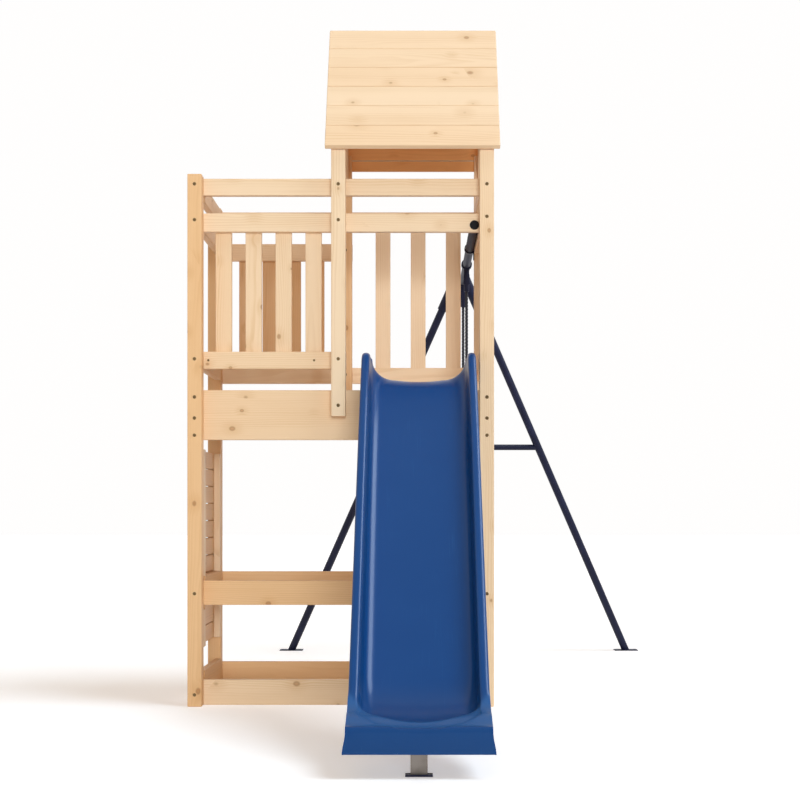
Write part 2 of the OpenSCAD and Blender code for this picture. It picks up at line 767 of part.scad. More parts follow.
// Moulded chute: a shell lofted through its stations, open below, with rolled rims
module slide_chute() {
    rings = [for (s = chute_stations) chute_ring(s)];
    n = len(rings[0]) / 2;
    last = len(rings) - 1;
    function up(j, i) = j * 2 * n + i;
    function low(j, i) = j * 2 * n + n + i;
    quads = concat(
        [for (j = [0 : last - 1]) for (i = [0 : n - 2])
            [up(j, i), up(j, i + 1), up(j + 1, i + 1), up(j + 1, i)]],
        [for (j = [0 : last - 1]) for (i = [0 : n - 2])
            [low(j, i), low(j + 1, i), low(j + 1, i + 1), low(j, i + 1)]],
        [for (j = [0 : last - 1]) [up(j, 0), up(j + 1, 0), low(j + 1, 0), low(j, 0)]],
        [for (j = [0 : last - 1]) [up(j, n - 1), low(j, n - 1), low(j + 1, n - 1), up(j + 1, n - 1)]],
        [for (i = [0 : n - 2]) [up(0, i), low(0, i), low(0, i + 1), up(0, i + 1)]],
        [for (i = [0 : n - 2]) [up(last, i), up(last, i + 1), low(last, i + 1), low(last, i)]]);
    placed() color(plastic_blue)
        polyhedron([for (r = rings) each r], [for (q = quads) each split_quad(q)]);
}

// Flat steel leg with a flange under the run-out
module slide_leg() {
    y = -slide_reach + leg_set;
    top = under_bed(y) - seat_gap;
    back_top = under_bed(y + flange_l) - seat_gap;
    placed() color(leg_grey) translate([slide_x - slide_leg_w / 2, 0, 0])
        rotate([90, 0, 90]) linear_extrude(slide_leg_w)
            polygon([
                [y, foot_t], [y + strip_t, foot_t], [y + strip_t, top - strip_t],
                [y + flange_l, back_top - strip_t], [y + flange_l, back_top], [y, top]
            ]);
}

module slide_foot_plate() {
    y = -slide_reach + leg_set - foot_front;
    placed() color(tube_black) difference() {
        box([slide_x - foot_w / 2, y, 0], [slide_x + foot_w / 2, y + foot_d, foot_t]);
        for (side = [-1, 1])
            translate([slide_x + side * foot_hole_pitch / 2, y + foot_d - foot_hole_set, -over])
                cylinder(d = anchor_d, h = foot_t + 2 * over);
    }
}

// Screws through the lip into the deck beam
module slide_screws() {
    placed() color(leg_grey) for (s = screw_shares) {
        u = s * screw_half;
        translate([slide_x + u, post_s + rail_t / 2, lip_z - dish * (1 - s * s * screw_dish_share)]) {
            cylinder(d = screw_head_d, h = screw_head_h);
            translate([0, 0, -screw_l]) cylinder(d = screw_d, h = screw_l);
        }
    }
}

// Tube of the swing beam, from the front rail to the A-frame
module swing_beam() {
    placed() color(tube_black) difference() {
        rods_y([[beam_x, beam_z]], post_s, beam_d, beam_reach - post_s);
        rods_y([[beam_x, beam_z]], post_s - over, beam_d - 2 * tube_t, beam_reach - post_s + 2 * over);
    }
}

// A cap at each end of the beam, with a plug inside the tube
module beam_end_caps() {
    plug_d = beam_d - 2 * tube_t - 2 * seat_gap;
    placed() color(tube_black) {
        rods_y([[beam_x, beam_z]], post_s - cap_t, beam_d, cap_t);
        rods_y([[beam_x, beam_z]], post_s - cap_t / 2, plug_d, cap_plug);
        rods_y([[beam_x, beam_z]], beam_reach, beam_d, cap_t);
        rods_y([[beam_x, beam_z]], beam_reach + cap_t / 2 - cap_plug, plug_d, cap_plug);
    }
}

// Strap that holds the beam against the inner face of the back right post, open on the post's side
module beam_saddle() {
    y = post_pitch + (post_s - saddle_w) / 2;
    bore_d = beam_d + 2 * beam_play + 2 * seat_gap;
    ring_d = bore_d + 2 * strap_t;
    flange_z = ring_d * saddle_flange_share;
    flange_zs = [beam_z - flange_z - saddle_flange, beam_z + flange_z];
    placed() color(tube_black) difference() {
        union() {
            intersection() {
                rods_y([[beam_x, beam_z]], y, ring_d, saddle_w);
                box([beam_x - ring_d, y, beam_z - ring_d], [right_x, y + saddle_w, beam_z + ring_d]);
            }
            for (z = flange_zs)
                box([right_x - strap_t, y, z], [right_x, y + saddle_w, z + saddle_flange]);
        }
        rods_y([[beam_x, beam_z]], y - over, bore_d, saddle_w + 2 * over);
    }
}

// Axis of a leg from the crossing point down; side is -1 for the left
module leg_axis(side) {
    translate([beam_x, head_y, cross_z])
        rotate([0, acos(-cross_z / leg_l), atan2(foot_lean, side * foot_spread)]) children();
}

// Head that holds the beam's end between the tops of the legs
module a_frame_head() {
    lean_y = head_y + foot_lean * cross_rise / cross_z;
    half = foot_spread * cross_rise / cross_z;
    socket_d = leg_d + 2 * seat_gap + 2 * socket_wall;
    sleeve_bore = beam_d + 2 * seat_gap;
    placed() color(tube_black) difference() {
        union() {
            for (side = [-1, 1]) leg_axis(side)
                translate([0, 0, leg_start - socket_wall]) cylinder(d = socket_d, h = socket_l);
            rods_y([[beam_x, beam_z]], lean_y - sleeve_l / 2, sleeve_bore + 2 * socket_wall, sleeve_l);
            box([beam_x - half, lean_y - leg_r, beam_z - web_t / 2],
                [beam_x + half, lean_y + leg_r, beam_z + web_t / 2]);
        }
        for (side = [-1, 1]) leg_axis(side)
            translate([0, 0, leg_start - seat_gap]) cylinder(d = leg_d + 2 * seat_gap, h = socket_l);
        rods_y([[beam_x, beam_z]], lean_y - sleeve_l, sleeve_bore, 2 * sleeve_l);
    }
}

// Tube from the head to its foot plate, cut level at the foot
module a_frame_leg(side) {
    foot = [beam_x + side * foot_spread, head_y + foot_lean, 0];
    placed() color(tube_black) difference() {
        leg_axis(side) translate([0, 0, leg_start]) cylinder(d = leg_d, h = leg_l - leg_start + leg_d);
        leg_axis(side) translate([0, 0, leg_start - over])
            cylinder(d = leg_d - 2 * tube_t, h = leg_l - leg_start + 2 * leg_d);
        box(foot - [plate_w, plate_w, plate_w], foot + [plate_w, plate_w, plate_t]);
    }
}

module a_frame_left_leg() { a_frame_leg(-1); }
module a_frame_right_leg() { a_frame_leg(1); }

// Crossbar with its ends coped to the legs
module a_frame_crossbar() {
    down = (cross_z - crossbar_z) / cross_z;
    half = foot_spread * down;
    placed() color(tube_black) difference() {
        translate([beam_x - half, head_y + foot_lean * down, crossbar_z]) rotate([0, 90, 0])
            difference() {
                cylinder(d = crossbar_d, h = 2 * half);
                translate([0, 0, -over]) cylinder(d = crossbar_d - 2 * tube_t, h = 2 * half + 2 * over);
            }
        for (side = [-1, 1]) leg_axis(side) cylinder(d = leg_d + 2 * seat_gap, h = leg_l);
    }
}

module a_frame_foot_plates() {
    placed() color(tube_black) for (side = [-1, 1])
        translate([beam_x + side * foot_spread, head_y + foot_lean, 0]) difference() {
            translate([-plate_w / 2, -plate_d / 2, 0]) cube([plate_w, plate_d, plate_t]);
            for (end = [-1, 1])
                translate([end * anchor_pitch / 2, 0, -over]) cylinder(d = anchor_d, h = plate_t + 2 * over);
        }
}

// Clamp on the beam with a lug for the swing's pin
module swing_hangers() {
    ring_d = beam_d + 2 * hanger_wall;
    placed() color(tube_black) for (y = hanger_ys) difference() {
        union() {
            rods_y([[beam_x, beam_z]], y - hanger_w / 2, ring_d, hanger_w);
            box([beam_x - lug_r, y - lug_t / 2, pivot_z], [beam_x + lug_r, y + lug_t / 2, beam_z]);
            rods_y([[beam_x, pivot_z]], y - lug_t / 2, 2 * lug_r, lug_t);
        }
        rods_y([[beam_x, beam_z]], y - hanger_w, beam_d + 2 * seat_gap, 2 * hanger_w);
        rods_y([[beam_x, pivot_z]], y - lug_t, pin_d + 2 * pin_play, 2 * lug_t);
    }
}

// Fork with its pin through the lug and a socket for the rope
module swing_shackles() {
    inner = lug_t / 2 + ear_gap;
    outer = inner + ear_t;
    placed() color(tube_black) for (y = hanger_ys) difference() {
        union() {
            for (y0 = [y - outer, y + inner]) {
                rods_y([[beam_x, pivot_z]], y0, 2 * ear_r, ear_t);
                box([beam_x - ear_r, y0, pivot_z - clevis_l], [beam_x + ear_r, y0 + ear_t, pivot_z]);
            }
            box([beam_x - ear_r, y - outer, pivot_z - clevis_l],
                [beam_x + ear_r, y + outer, pivot_z - clevis_l + bridge_t]);
            rods_y([[beam_x, pivot_z]], y - outer - pin_over, pin_d, 2 * (outer + pin_over));
            translate([beam_x, y, pivot_z - clevis_l - socket_h]) cylinder(d = socket_d, h = socket_h);
        }
        translate([beam_x, y, pivot_z - clevis_l - socket_h - over])
            cylinder(d = rope_d + 2 * seat_gap, h = socket_h + over - rope_stop);
    }
}

// Rope from its socket through the seat, with a stopper knot below
module swing_ropes() {
    top = pivot_z - clevis_l - rope_stop - seat_gap;
    knot_z = seat_h - seat_t - seat_gap - knot_d / 2;
    placed() color(tube_black) for (y = hanger_ys) {
        translate([beam_x, y, knot_z - knot_d / 2 - rope_tail])
            cylinder(d = rope_d, h = top - knot_z + knot_d / 2 + rope_tail);
        translate([beam_x, y, knot_z]) sphere(d = knot_d);
    }
}

// Flat seat with rounded corners and a hole for each rope
module swing_seat() {
    x = seat_w / 2 - seat_corner_r;
    y = seat_l / 2 - seat_corner_r;
    placed() color(tube_black) translate([beam_x, seat_y, seat_h - seat_t]) difference() {
        linear_extrude(seat_t) {
            square([seat_w, 2 * y], center = true);
            square([2 * x, seat_l], center = true);
            for (sx = [-1, 1]) for (sy = [-1, 1])
                translate([sx * x, sy * y]) circle(r = seat_corner_r);
        }
        for (side = [-1, 1])
            translate([0, side * rope_pitch / 2, -over])
                cylinder(d = rope_d + 2 * rope_hole_play, h = seat_t + 2 * over);
    }
}

// Bolts from the posts into the rails behind them
module frame_bolts() {
    placed() color(leg_grey) {
        for (b = front_bolts) frame_bolt(b, 0);
        for (b = back_bolts) frame_bolt(b, post_pitch);
    }
}

module frame_bolt(b, y) {
    head_y0 = y + sink_play;
    translate([b[0], 0, b[1]]) rotate([-90, 0, 0]) difference() {
        union() {
            translate([0, 0, head_y0]) cylinder(d = bolt_head_d, h = bolt_head_h);
            translate([0, 0, head_y0]) cylinder(d = bolt_d, h = post_s + rail_bite - sink_play);
        }
        translate([0, 0, head_y0 - over]) cylinder(d = bolt_key_d, h = bolt_key_depth + over, $fn = 6);
    }
}

left_front_post();
left_back_post();
middle_front_post();
middle_back_post();
right_front_post();
right_back_post();
front_top_rail();
front_second_rail();
front_lower_rail();
front_deck_beam();
front_mid_rail();
front_bottom_rail();
back_top_rail();
back_second_rail();
back_lower_rail();
back_deck_beam();
back_mid_rail();
back_bottom_rail();
left_top_rail();
left_second_rail();
left_lower_rail();
left_deck_beam();
left_mid_rail();
left_bottom_rail();
right_top_rail();
right_second_rail();
right_lower_rail();
right_deck_beam();
right_mid_rail();
right_bottom_rail();
front_balusters();
back_left_balusters();
back_right_balusters();
right_balusters();
climbing_boards();
climbing_cleats();
climbing_holds();
deck_boards();
deck_joists();
roof_front_boards();
roof_back_boards();
roof_rafters();
slide_chute();
slide_leg();
slide_foot_plate();
slide_screws();
swing_beam();
beam_end_caps();
beam_saddle();
a_frame_head();
a_frame_left_leg();
a_frame_right_leg();
a_frame_crossbar();
a_frame_foot_plates();
swing_hangers();
swing_shackles();
swing_ropes();
swing_seat();
frame_bolts();
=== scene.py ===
# %% [markdown]
# # Dressing a wooden play tower
#
# The object is a pine tower with a gable roof, a climbing wall, a moulded slide and a swing
# on a tubular A-frame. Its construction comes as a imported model, which is loaded as a fixed
# frame. This lesson gives that frame its looks: eased timber with grain and knots, a glossy
# moulded chute, powder-coated tubes and twisted ropes.

import json
import math
import random

import bmesh
import bpy
import numpy as np
from mathutils import Matrix, Vector


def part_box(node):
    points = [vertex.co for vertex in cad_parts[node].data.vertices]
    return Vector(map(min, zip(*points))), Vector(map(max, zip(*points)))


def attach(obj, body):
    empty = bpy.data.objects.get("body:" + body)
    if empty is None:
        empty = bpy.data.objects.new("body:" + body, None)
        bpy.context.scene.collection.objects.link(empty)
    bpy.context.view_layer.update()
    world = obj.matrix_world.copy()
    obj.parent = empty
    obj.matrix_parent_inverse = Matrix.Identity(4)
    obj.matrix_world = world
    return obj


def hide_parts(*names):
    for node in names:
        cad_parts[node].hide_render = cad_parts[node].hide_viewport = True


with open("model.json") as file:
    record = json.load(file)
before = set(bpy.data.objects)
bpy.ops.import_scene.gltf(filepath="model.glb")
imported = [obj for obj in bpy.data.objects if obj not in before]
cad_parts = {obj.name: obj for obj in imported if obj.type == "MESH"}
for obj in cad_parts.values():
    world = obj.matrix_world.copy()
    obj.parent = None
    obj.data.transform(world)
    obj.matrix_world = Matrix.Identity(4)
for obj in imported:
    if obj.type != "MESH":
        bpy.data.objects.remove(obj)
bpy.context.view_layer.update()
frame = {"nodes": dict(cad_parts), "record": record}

# %% [markdown]
# ## Places
#
# The tower was measured from the outer front corner of its left front post, in millimetres.
# That corner is the lowest corner of the post's box, so places can be written in those
# measures and moved into the frame's metres by one small function.

# %% The tower's own measures
MM = 0.001
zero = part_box("left_front_post")[0]


def at(x, y, z):
    """A place in the tower's own millimetres, in the frame's metres."""
    return zero + Vector((x, y, z)) * MM


print("working zero at", [round(c, 4) for c in zero])

# %% [markdown]
# ## Camera
#
# The photograph was taken level, from in front of the slide. The horizon lies well below the
# middle of the picture, so the lens is shifted and the camera isn't tipped: uprights stay
# upright. The focal length and the distance come from the vanishing of the rails.

# %% Level camera with a shifted lens
PICTURE = 800
HORIZON_X, HORIZON_Y = 418, 510
MM_PER_PIXEL = 3.22
EYE_X, EYE_DISTANCE, EYE_Z = 743, 4510, 634
SENSOR = 36
FAR_CLIP = 200

camera_data = bpy.data.cameras.new("camera")
camera_data.sensor_width = SENSOR
camera_data.lens = SENSOR * EYE_DISTANCE / MM_PER_PIXEL / PICTURE
camera_data.shift_x = (PICTURE / 2 - HORIZON_X) / PICTURE
camera_data.shift_y = (HORIZON_Y - PICTURE / 2) / PICTURE
camera_data.clip_end = FAR_CLIP
camera = bpy.data.objects.new("camera", camera_data)
camera.location = at(EYE_X, -EYE_DISTANCE, EYE_Z)
camera.rotation_euler = (math.pi / 2, 0, 0)
bpy.context.scene.collection.objects.link(camera)
bpy.context.scene.camera = camera
print("camera lens", round(camera_data.lens, 1), "mm")

# %% [markdown]
# ## Shader arithmetic
#
# A finish is a formula: rings from a distance, a mask from a threshold. Wiring Math nodes by
# hand hides the formula, so a small class wraps an output socket and lets Python's operators
# add the nodes. Every other node comes from one method, which sets the node's settings first
# and then its sockets. The same class serves the materials and, at the end, the sky.


# %% Sockets that take part in arithmetic
def math_pair(operation):
    """The forward and the reflected method of one operator."""
    def forward(self, other):
        return self.shader.calc(operation, self, other)

    def reflected(self, other):
        return self.shader.calc(operation, other, self)

    return forward, reflected


class Wire:
    """An output socket of a shader."""

    def __init__(self, shader, socket):
        self.shader, self.socket = shader, socket

    __add__, __radd__ = math_pair("ADD")
    __sub__, __rsub__ = math_pair("SUBTRACT")
    __mul__, __rmul__ = math_pair("MULTIPLY")
    __truediv__, __rtruediv__ = math_pair("DIVIDE")


class Shader:
    """The nodes of a material, or of the world, under construction."""

    def __init__(self, name, world=False):
        self.owner = (bpy.data.worlds if world else bpy.data.materials).new(name)
        self.owner.use_nodes = True
        self.tree = self.owner.node_tree

    def fill(self, socket, value):
        if isinstance(value, Wire):
            self.tree.links.new(value.socket, socket)
        elif socket.type == "RGBA" and len(value) == 3:
            socket.default_value = (*value, 1)
        else:
            socket.default_value = value

    def put(self, kind, settings, values, output=0):
        """Adds a node: its settings first, then the values or links of its sockets."""
        made = self.tree.nodes.new(kind)
        for name, value in settings.items():
            setattr(made, name, value)
        for key, value in values.items():
            self.fill(made.inputs[key], value)
        return Wire(self, made.outputs[output])

    def wires(self, kind, values, *names):
        """Adds a node and gives several of its outputs."""
        outputs = self.put(kind, {}, values).socket.node.outputs
        return [Wire(self, outputs[name]) for name in names]

    def calc(self, operation, *values):
        return self.put("ShaderNodeMath", {"operation": operation}, dict(enumerate(values)))

    def vector(self, operation, *values, output=0):
        return self.put("ShaderNodeVectorMath", {"operation": operation},
                        dict(enumerate(values)), output)

    def noise(self, place, scale=1.0, detail=2.0):
        """Noise over a place. A scale of three numbers stretches it."""
        if isinstance(scale, tuple):
            place, scale = self.vector("MULTIPLY", place, scale), 1.0
        return self.put("ShaderNodeTexNoise", {},
                        {"Vector": place, "Scale": scale, "Detail": detail})

    def step(self, value, low, high):
        """A soft step from 0 at low to 1 at high."""
        return self.put("ShaderNodeMapRange", {"interpolation_type": "SMOOTHSTEP"},
                        {"Value": value, "From Min": low, "From Max": high})

    def mix(self, factor, a, b, blend="MIX"):
        """A colour between two colours; 0, 6 and 7 are the colour sockets of the Mix node."""
        return self.put("ShaderNodeMix", {"data_type": "RGBA", "blend_type": blend},
                        {0: factor, 6: a, 7: b}, 2)

    def tint(self, colour, by):
        return self.mix(1.0, colour, by, "MULTIPLY")

    def attribute(self, name, output):
        return self.put("ShaderNodeAttribute", {"attribute_name": name}, {}, output)

    def place(self):
        return self.put("ShaderNodeTexCoord", {}, {}, "Object")

    def feed(self, node, name, value):
        """Fills a socket of a node that was there from the start."""
        self.fill(self.tree.nodes[node].inputs[name], value)

    def relief(self, height, strength, distance):
        self.feed("Principled BSDF", "Normal", self.put("ShaderNodeBump", {}, {
            "Height": height, "Strength": strength, "Distance": distance}))

    def finish(self, **sockets):
        """Sets the shader's own sockets; an underscore stands for a space."""
        for name, value in sockets.items():
            self.feed("Principled BSDF", name.replace("_", " "), value)
        return self.owner


print("shader kit ready")

# %% [markdown]
# ## Rope finish
#
# The ropes are dark polyester. Each strand is a bundle of fibres that runs across the strand,
# so the finish has a fine streak along the strand and a dull sheen. Polyester catches little
# light, and the valleys between the strands are already there as geometry.


# %% Dark polyester
def rope_finish():
    s = Shader("rope_polyester")
    fibres = s.noise(s.place(), (1800.0, 1800.0, 260.0), detail=3.0)
    dust = s.noise(s.place(), 45.0)
    colour = s.mix(s.step(fibres, 0.35, 0.7), (0.012, 0.012, 0.018), (0.045, 0.046, 0.06))
    s.relief(fibres, strength=0.25, distance=0.0005)
    return s.finish(Base_Color=colour, Roughness=0.72 + dust * 0.2, Sheen_Weight=0.05,
                    Sheen_Roughness=0.5)


rope_material = rope_finish()
print("made", rope_material.name)

# %% [markdown]
# ## Geometry Nodes kit
#
# Ropes, bolts and screws repeat or follow a path, so they are made by Geometry Nodes. A tree
# gets named inputs, and a modifier's input is set by its socket's identifier. The result is
# turned into a plain mesh, because the export drops instances. The last helper gives a
# finished piece its finish and the body that moves it, and hides the CAD nodes that it stands
# for.


# %% Build a tree and turn its result into a mesh
class Tree:
    """A Geometry Nodes tree with named inputs."""

    def __init__(self, name, **inputs):
        self.group = bpy.data.node_groups.new(name, "GeometryNodeTree")
        sockets = self.group.interface
        sockets.new_socket("Geometry", in_out="OUTPUT", socket_type="NodeSocketGeometry")
        sockets.new_socket("Geometry", in_out="INPUT", socket_type="NodeSocketGeometry")
        for label, kind in inputs.items():
            sockets.new_socket(label, in_out="INPUT", socket_type=kind)
        self.source = self.group.nodes.new("NodeGroupInput")
        self.sink = self.group.nodes.new("NodeGroupOutput")

    def given(self, label):
        return self.source.outputs[label]

    def put(self, kind, settings=None, values=None, output=0):
        made = self.group.nodes.new(kind)
        for name, value in (settings or {}).items():
            setattr(made, name, value)
        for key, value in (values or {}).items():
            for part in value if isinstance(value, list) else [value]:
                if isinstance(part, bpy.types.NodeSocket):
                    self.group.links.new(part, made.inputs[key])
                else:
                    made.inputs[key].default_value = part
        return made.outputs[output]

    def calc(self, operation, *values):
        return self.put("ShaderNodeMath", {"operation": operation}, dict(enumerate(values)))

    def times(self, a, b):
        return self.calc("MULTIPLY", a, b)

    def close(self, geometry):
        """Ends the tree in Realize Instances and Set Material."""
        real = self.put("GeometryNodeRealizeInstances", values={"Geometry": geometry})
        painted = self.put("GeometryNodeSetMaterial",
                           values={"Geometry": real, "Material": self.given("Material")})
        self.group.links.new(painted, self.sink.inputs[0])
        return self

    def grow(self, name, mesh, **values):
        """A plain mesh object, grown from a mesh by this tree."""
        host = link(name + "_seed", mesh)
        modifier = host.modifiers.new(name, "NODES")
        modifier.node_group = self.group
        for item in self.group.interface.items_tree:
            if item.in_out == "INPUT" and item.name in values:
                modifier[item.identifier] = values[item.name]
        return link(name, evaluated(host))


def link(name, mesh):
    """A mesh as an object of the scene."""
    mesh.name = name
    made = bpy.data.objects.new(name, mesh)
    bpy.context.scene.collection.objects.link(made)
    return made


def evaluated(host):
    """The plain mesh that an object's modifiers give; the object itself is dropped."""
    graph = bpy.context.evaluated_depsgraph_get()
    mesh = bpy.data.meshes.new_from_object(host.evaluated_get(graph), depsgraph=graph)
    bpy.data.objects.remove(host)
    return mesh


def settle(made, material, slot, body, *nodes):
    """Gives a piece its finish and body and hides the nodes that it stands for; slot is not
    used.
    """
    made.data.materials.clear()
    made.data.materials.append(material)
    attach(made, body)
    if nodes:
        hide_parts(*nodes)
    return made


print("Geometry Nodes kit ready")

# %% [markdown]
# ## Swing ropes
#
# Each rope is a three-strand laid rope, 12 mm thick, taut under the seat's weight. It leaves
# the socket of its shackle, passes through the seat and ends below its stopper knot. Three
# round strands could be swept one by one, but a three-lobed section that turns as it goes
# gives the same lay in one sweep. The knot is a short barrel of the same rope.

# %% The tree of a laid rope
ROPE_STRANDS, ROPE_SIDES, ROPE_STEP = 3, 24, 0.003
LOBE = 0.26


def rope_tree():
    t = Tree("laid_rope", Diameter="NodeSocketFloat", Lay="NodeSocketFloat",
             Material="NodeSocketMaterial")
    path = t.put("GeometryNodeMeshToCurve", values={"Mesh": t.given("Geometry")})
    path = t.put("GeometryNodeResampleCurve", {"mode": "LENGTH"},
                 {"Curve": path, "Length": ROPE_STEP})
    along = t.put("GeometryNodeSplineParameter", output="Length")
    turn = t.times(t.calc("DIVIDE", along, t.given("Lay")), 2 * math.pi)
    path = t.put("GeometryNodeSetCurveTilt", values={"Curve": path, "Tilt": turn})
    ring = t.put("GeometryNodeCurvePrimitiveCircle",
                 values={"Resolution": ROPE_SIDES, "Radius": 1.0}, output="Curve")
    around = t.put("GeometryNodeSplineParameter", output="Factor")
    swell = t.calc("ABSOLUTE", t.calc("COSINE", t.times(around, ROPE_STRANDS * math.pi)))
    reach = t.times(t.calc("ADD", t.times(swell, LOBE), 1 - LOBE),
                    t.times(t.given("Diameter"), 0.5))
    spot = t.put("ShaderNodeVectorMath", {"operation": "SCALE"},
                 {0: t.put("GeometryNodeInputPosition"), "Scale": reach})
    ring = t.put("GeometryNodeSetPosition", values={"Geometry": ring, "Position": spot})
    swept = t.put("GeometryNodeCurveToMesh",
                  values={"Curve": path, "Profile Curve": ring, "Fill Caps": True})
    smooth_rope = t.put("GeometryNodeSetShadeSmooth",
                        values={"Geometry": swept, "Shade Smooth": True})
    return t.close(smooth_rope)


laid_rope = rope_tree()
print("tree", laid_rope.group.name, "with", len(laid_rope.group.nodes), "nodes")

# %% Two ropes and their knots
ROPE_D, ROPE_LAY, ROPE_POINTS = 12, 40, 30
ROPE_YS = {"near": 785, "far": 1185}
KNOT_Z, KNOT_R, KNOT_H = 424.7, 9, 18
KNOT_TURNS, KNOT_POINTS = 3, 16
rope_low, rope_high = ((corner - zero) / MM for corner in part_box("swing_ropes"))
rope_x, rope_end = (rope_low.x + rope_high.x) / 2, rope_low.z
rope_top = (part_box("swing_shackles")[0] - zero).z / MM


def lay_rope(name, points):
    """A laid rope along points, on the swing."""
    path = bpy.data.meshes.new(name)
    path.from_pydata(points, [(i, i + 1) for i in range(len(points) - 1)], [])
    made = laid_rope.grow(name, path, Diameter=ROPE_D * MM, Lay=ROPE_LAY * MM,
                          Material=rope_material)
    return settle(made, rope_material, "rope_black", "swing", "swing_ropes")


def barrel(y):
    """The points of a knot's turns about its rope."""
    for i in range(KNOT_POINTS * KNOT_TURNS + 1):
        t = i / KNOT_POINTS
        yield at(rope_x + KNOT_R * math.cos(2 * math.pi * t),
                 y + KNOT_R * math.sin(2 * math.pi * t),
                 KNOT_Z + (t / KNOT_TURNS - 0.5) * KNOT_H)


for side, y in ROPE_YS.items():
    route = [at(rope_x, y, rope_top + (rope_end - rope_top) * i / ROPE_POINTS)
             for i in range(ROPE_POINTS + 1)]
    rope = lay_rope(f"swing_rope_{side}", route)
    knot = lay_rope(f"rope_knot_{side}", list(barrel(y)))
    print("rope", rope.name, len(rope.data.polygons), "faces")

# %% [markdown]
# ## Pine
#
# Planed softwood is pale, with growth rings that show as fine lines on a quarter-sawn face and
# as wide flames on a flat-sawn one. A picture of wood would repeat and would stop at the
# edges. Here the log itself is described: each board knows where it lay in its log, the rings
# are distances from the log's middle, and knots are small branches. So the grain runs round
# every edge and the end grain shows arcs. Faces that look down get a redder, darker tint,
# which is painted shade.

# %% Rings, fibres and knots
RING_WIDTH = 0.0062
KNOT_CELLS, KNOT_METRIC = (4.0, 9.0, 3.0), (5.4, 9.0, 60.0)
KNOTLESS, KNOT_LEAST, KNOT_EXTRA = 0.2, 0.004, 0.006
EARLY_WOOD, LATE_WOOD = (0.865, 0.63, 0.405), (0.67, 0.397, 0.176)
KNOT_HALO, KNOT_WOOD, KNOT_EDGE = (0.64, 0.38, 0.17), (0.46, 0.22, 0.08), (0.28, 0.12, 0.04)
# First colour below: amber, partly painted shade; last colour: painted shade for faces below.
HONEY_AND_SHADE_TINT, END_TINT, UNDER_SHADE_TINT = (0.925, 0.755, 0.57), (0.8, 0.62, 0.45), (0.98, 0.66, 0.36)


def pine_finish():
    s = Shader("planed_pine")
    log = s.attribute("log", "Vector")
    tone_and_shade, end_grain, underside = (s.attribute(name, "Fac")
                                  for name in ("tone_and_shade", "end_grain", "underside"))

    spread = s.vector("MULTIPLY", log, KNOT_CELLS)
    spot, dice = s.wires("ShaderNodeTexVoronoi", {"Vector": spread, "Scale": 1.0},
                         "Position", "Color")
    chance, girth = s.wires("ShaderNodeSeparateColor", {"Color": dice}, 0, 1)
    middle = s.vector("SUBTRACT", spot, spread)
    reach = s.vector("LENGTH", s.vector("DIVIDE", middle, KNOT_METRIC), output="Value")
    share = reach / (KNOT_LEAST + girth * KNOT_EXTRA)
    branch = s.calc("GREATER_THAN", chance, KNOTLESS)
    knot = (1 - s.step(share, 0.5, 1.2)) * branch
    halo = (1 - s.step(share, 0.6, 4.5)) * branch
    collar = knot * s.step(share, 0.3, 0.85)

    sway = s.noise(log, (1.6, 13.0, 13.0)) - 0.5
    wobble = s.noise(log, (7.0, 60.0, 60.0)) - 0.5
    from_pith = s.vector("LENGTH", s.vector("MULTIPLY", log, (0.0, 1.0, 1.0)), output="Value")
    radius = from_pith + sway * 0.03 + wobble * 0.0026 + halo * 0.004
    ring = s.calc("FRACT", radius / RING_WIDTH)
    late = s.step(ring, 0.2, 0.86) * (1 - s.step(ring, 0.86, 1.0))
    years = s.step(s.noise(log, (0.5, 30.0, 30.0)), 0.35, 0.7)
    fibres = s.noise(log, (18.0, 700.0, 700.0), detail=3.0)
    clouds = s.noise(log, (2.2, 16.0, 16.0), detail=3.0) - 0.5

    grain = late * (0.08 + years * 0.34) + (fibres - 0.5) * 0.2 + clouds * 0.5
    wood = s.mix(grain, EARLY_WOOD, LATE_WOOD)
    wood = s.mix(halo * 0.3, wood, KNOT_HALO)
    wood = s.mix(knot * 0.62, wood, KNOT_WOOD)
    wood = s.mix(collar * 0.45, wood, KNOT_EDGE)
    # random amber and painted shade, set per piece
    wood = s.tint(wood, s.mix(tone_and_shade, (1.0, 1.0, 1.0), HONEY_AND_SHADE_TINT))
    wood = s.mix(end_grain * 0.6, wood, s.tint(wood, END_TINT))
    # painted shade: faces that look down are tinted redder and darker
    wood = s.mix(underside, wood, s.tint(wood, UNDER_SHADE_TINT))

    s.relief(fibres * 0.5 - late * 0.6 + knot * 0.5, strength=0.22, distance=0.0005)
    return s.finish(Base_Color=wood, Roughness=0.5 + fibres * 0.14 - late * 0.08)


pine = pine_finish()
print("made", pine.name)

# %% [markdown]
# ## Timber pieces
#
# The posts, rails, boards and rafters are sawn and planed, with edges eased by a few strokes
# so that they don't splinter. Every one is a straight piece with a four-sided outline, so the
# CAD solid gives its outline in Y and Z and its reach along X. A new piece is built on that
# outline with eased edges, and its place in the log is written on its points. Chance gives
# each piece a little amber, and each piece also gets a set amount of it, which is mostly
# painted shade: more on pieces that stand in shade, and none on the back lower rail and the
# back right balusters, which are painted as pale as lit wood.

# %% Read the solids of a node
SAME_PLACE, STRAIGHT_RUN = 1e-6, 1e-7


def merged(node):
    """A copy of a CAD node's mesh, with its loose triangles joined."""
    made = bmesh.new()
    made.from_mesh(frame["nodes"][node].data)
    bmesh.ops.remove_doubles(made, verts=made.verts, dist=SAME_PLACE)
    return made


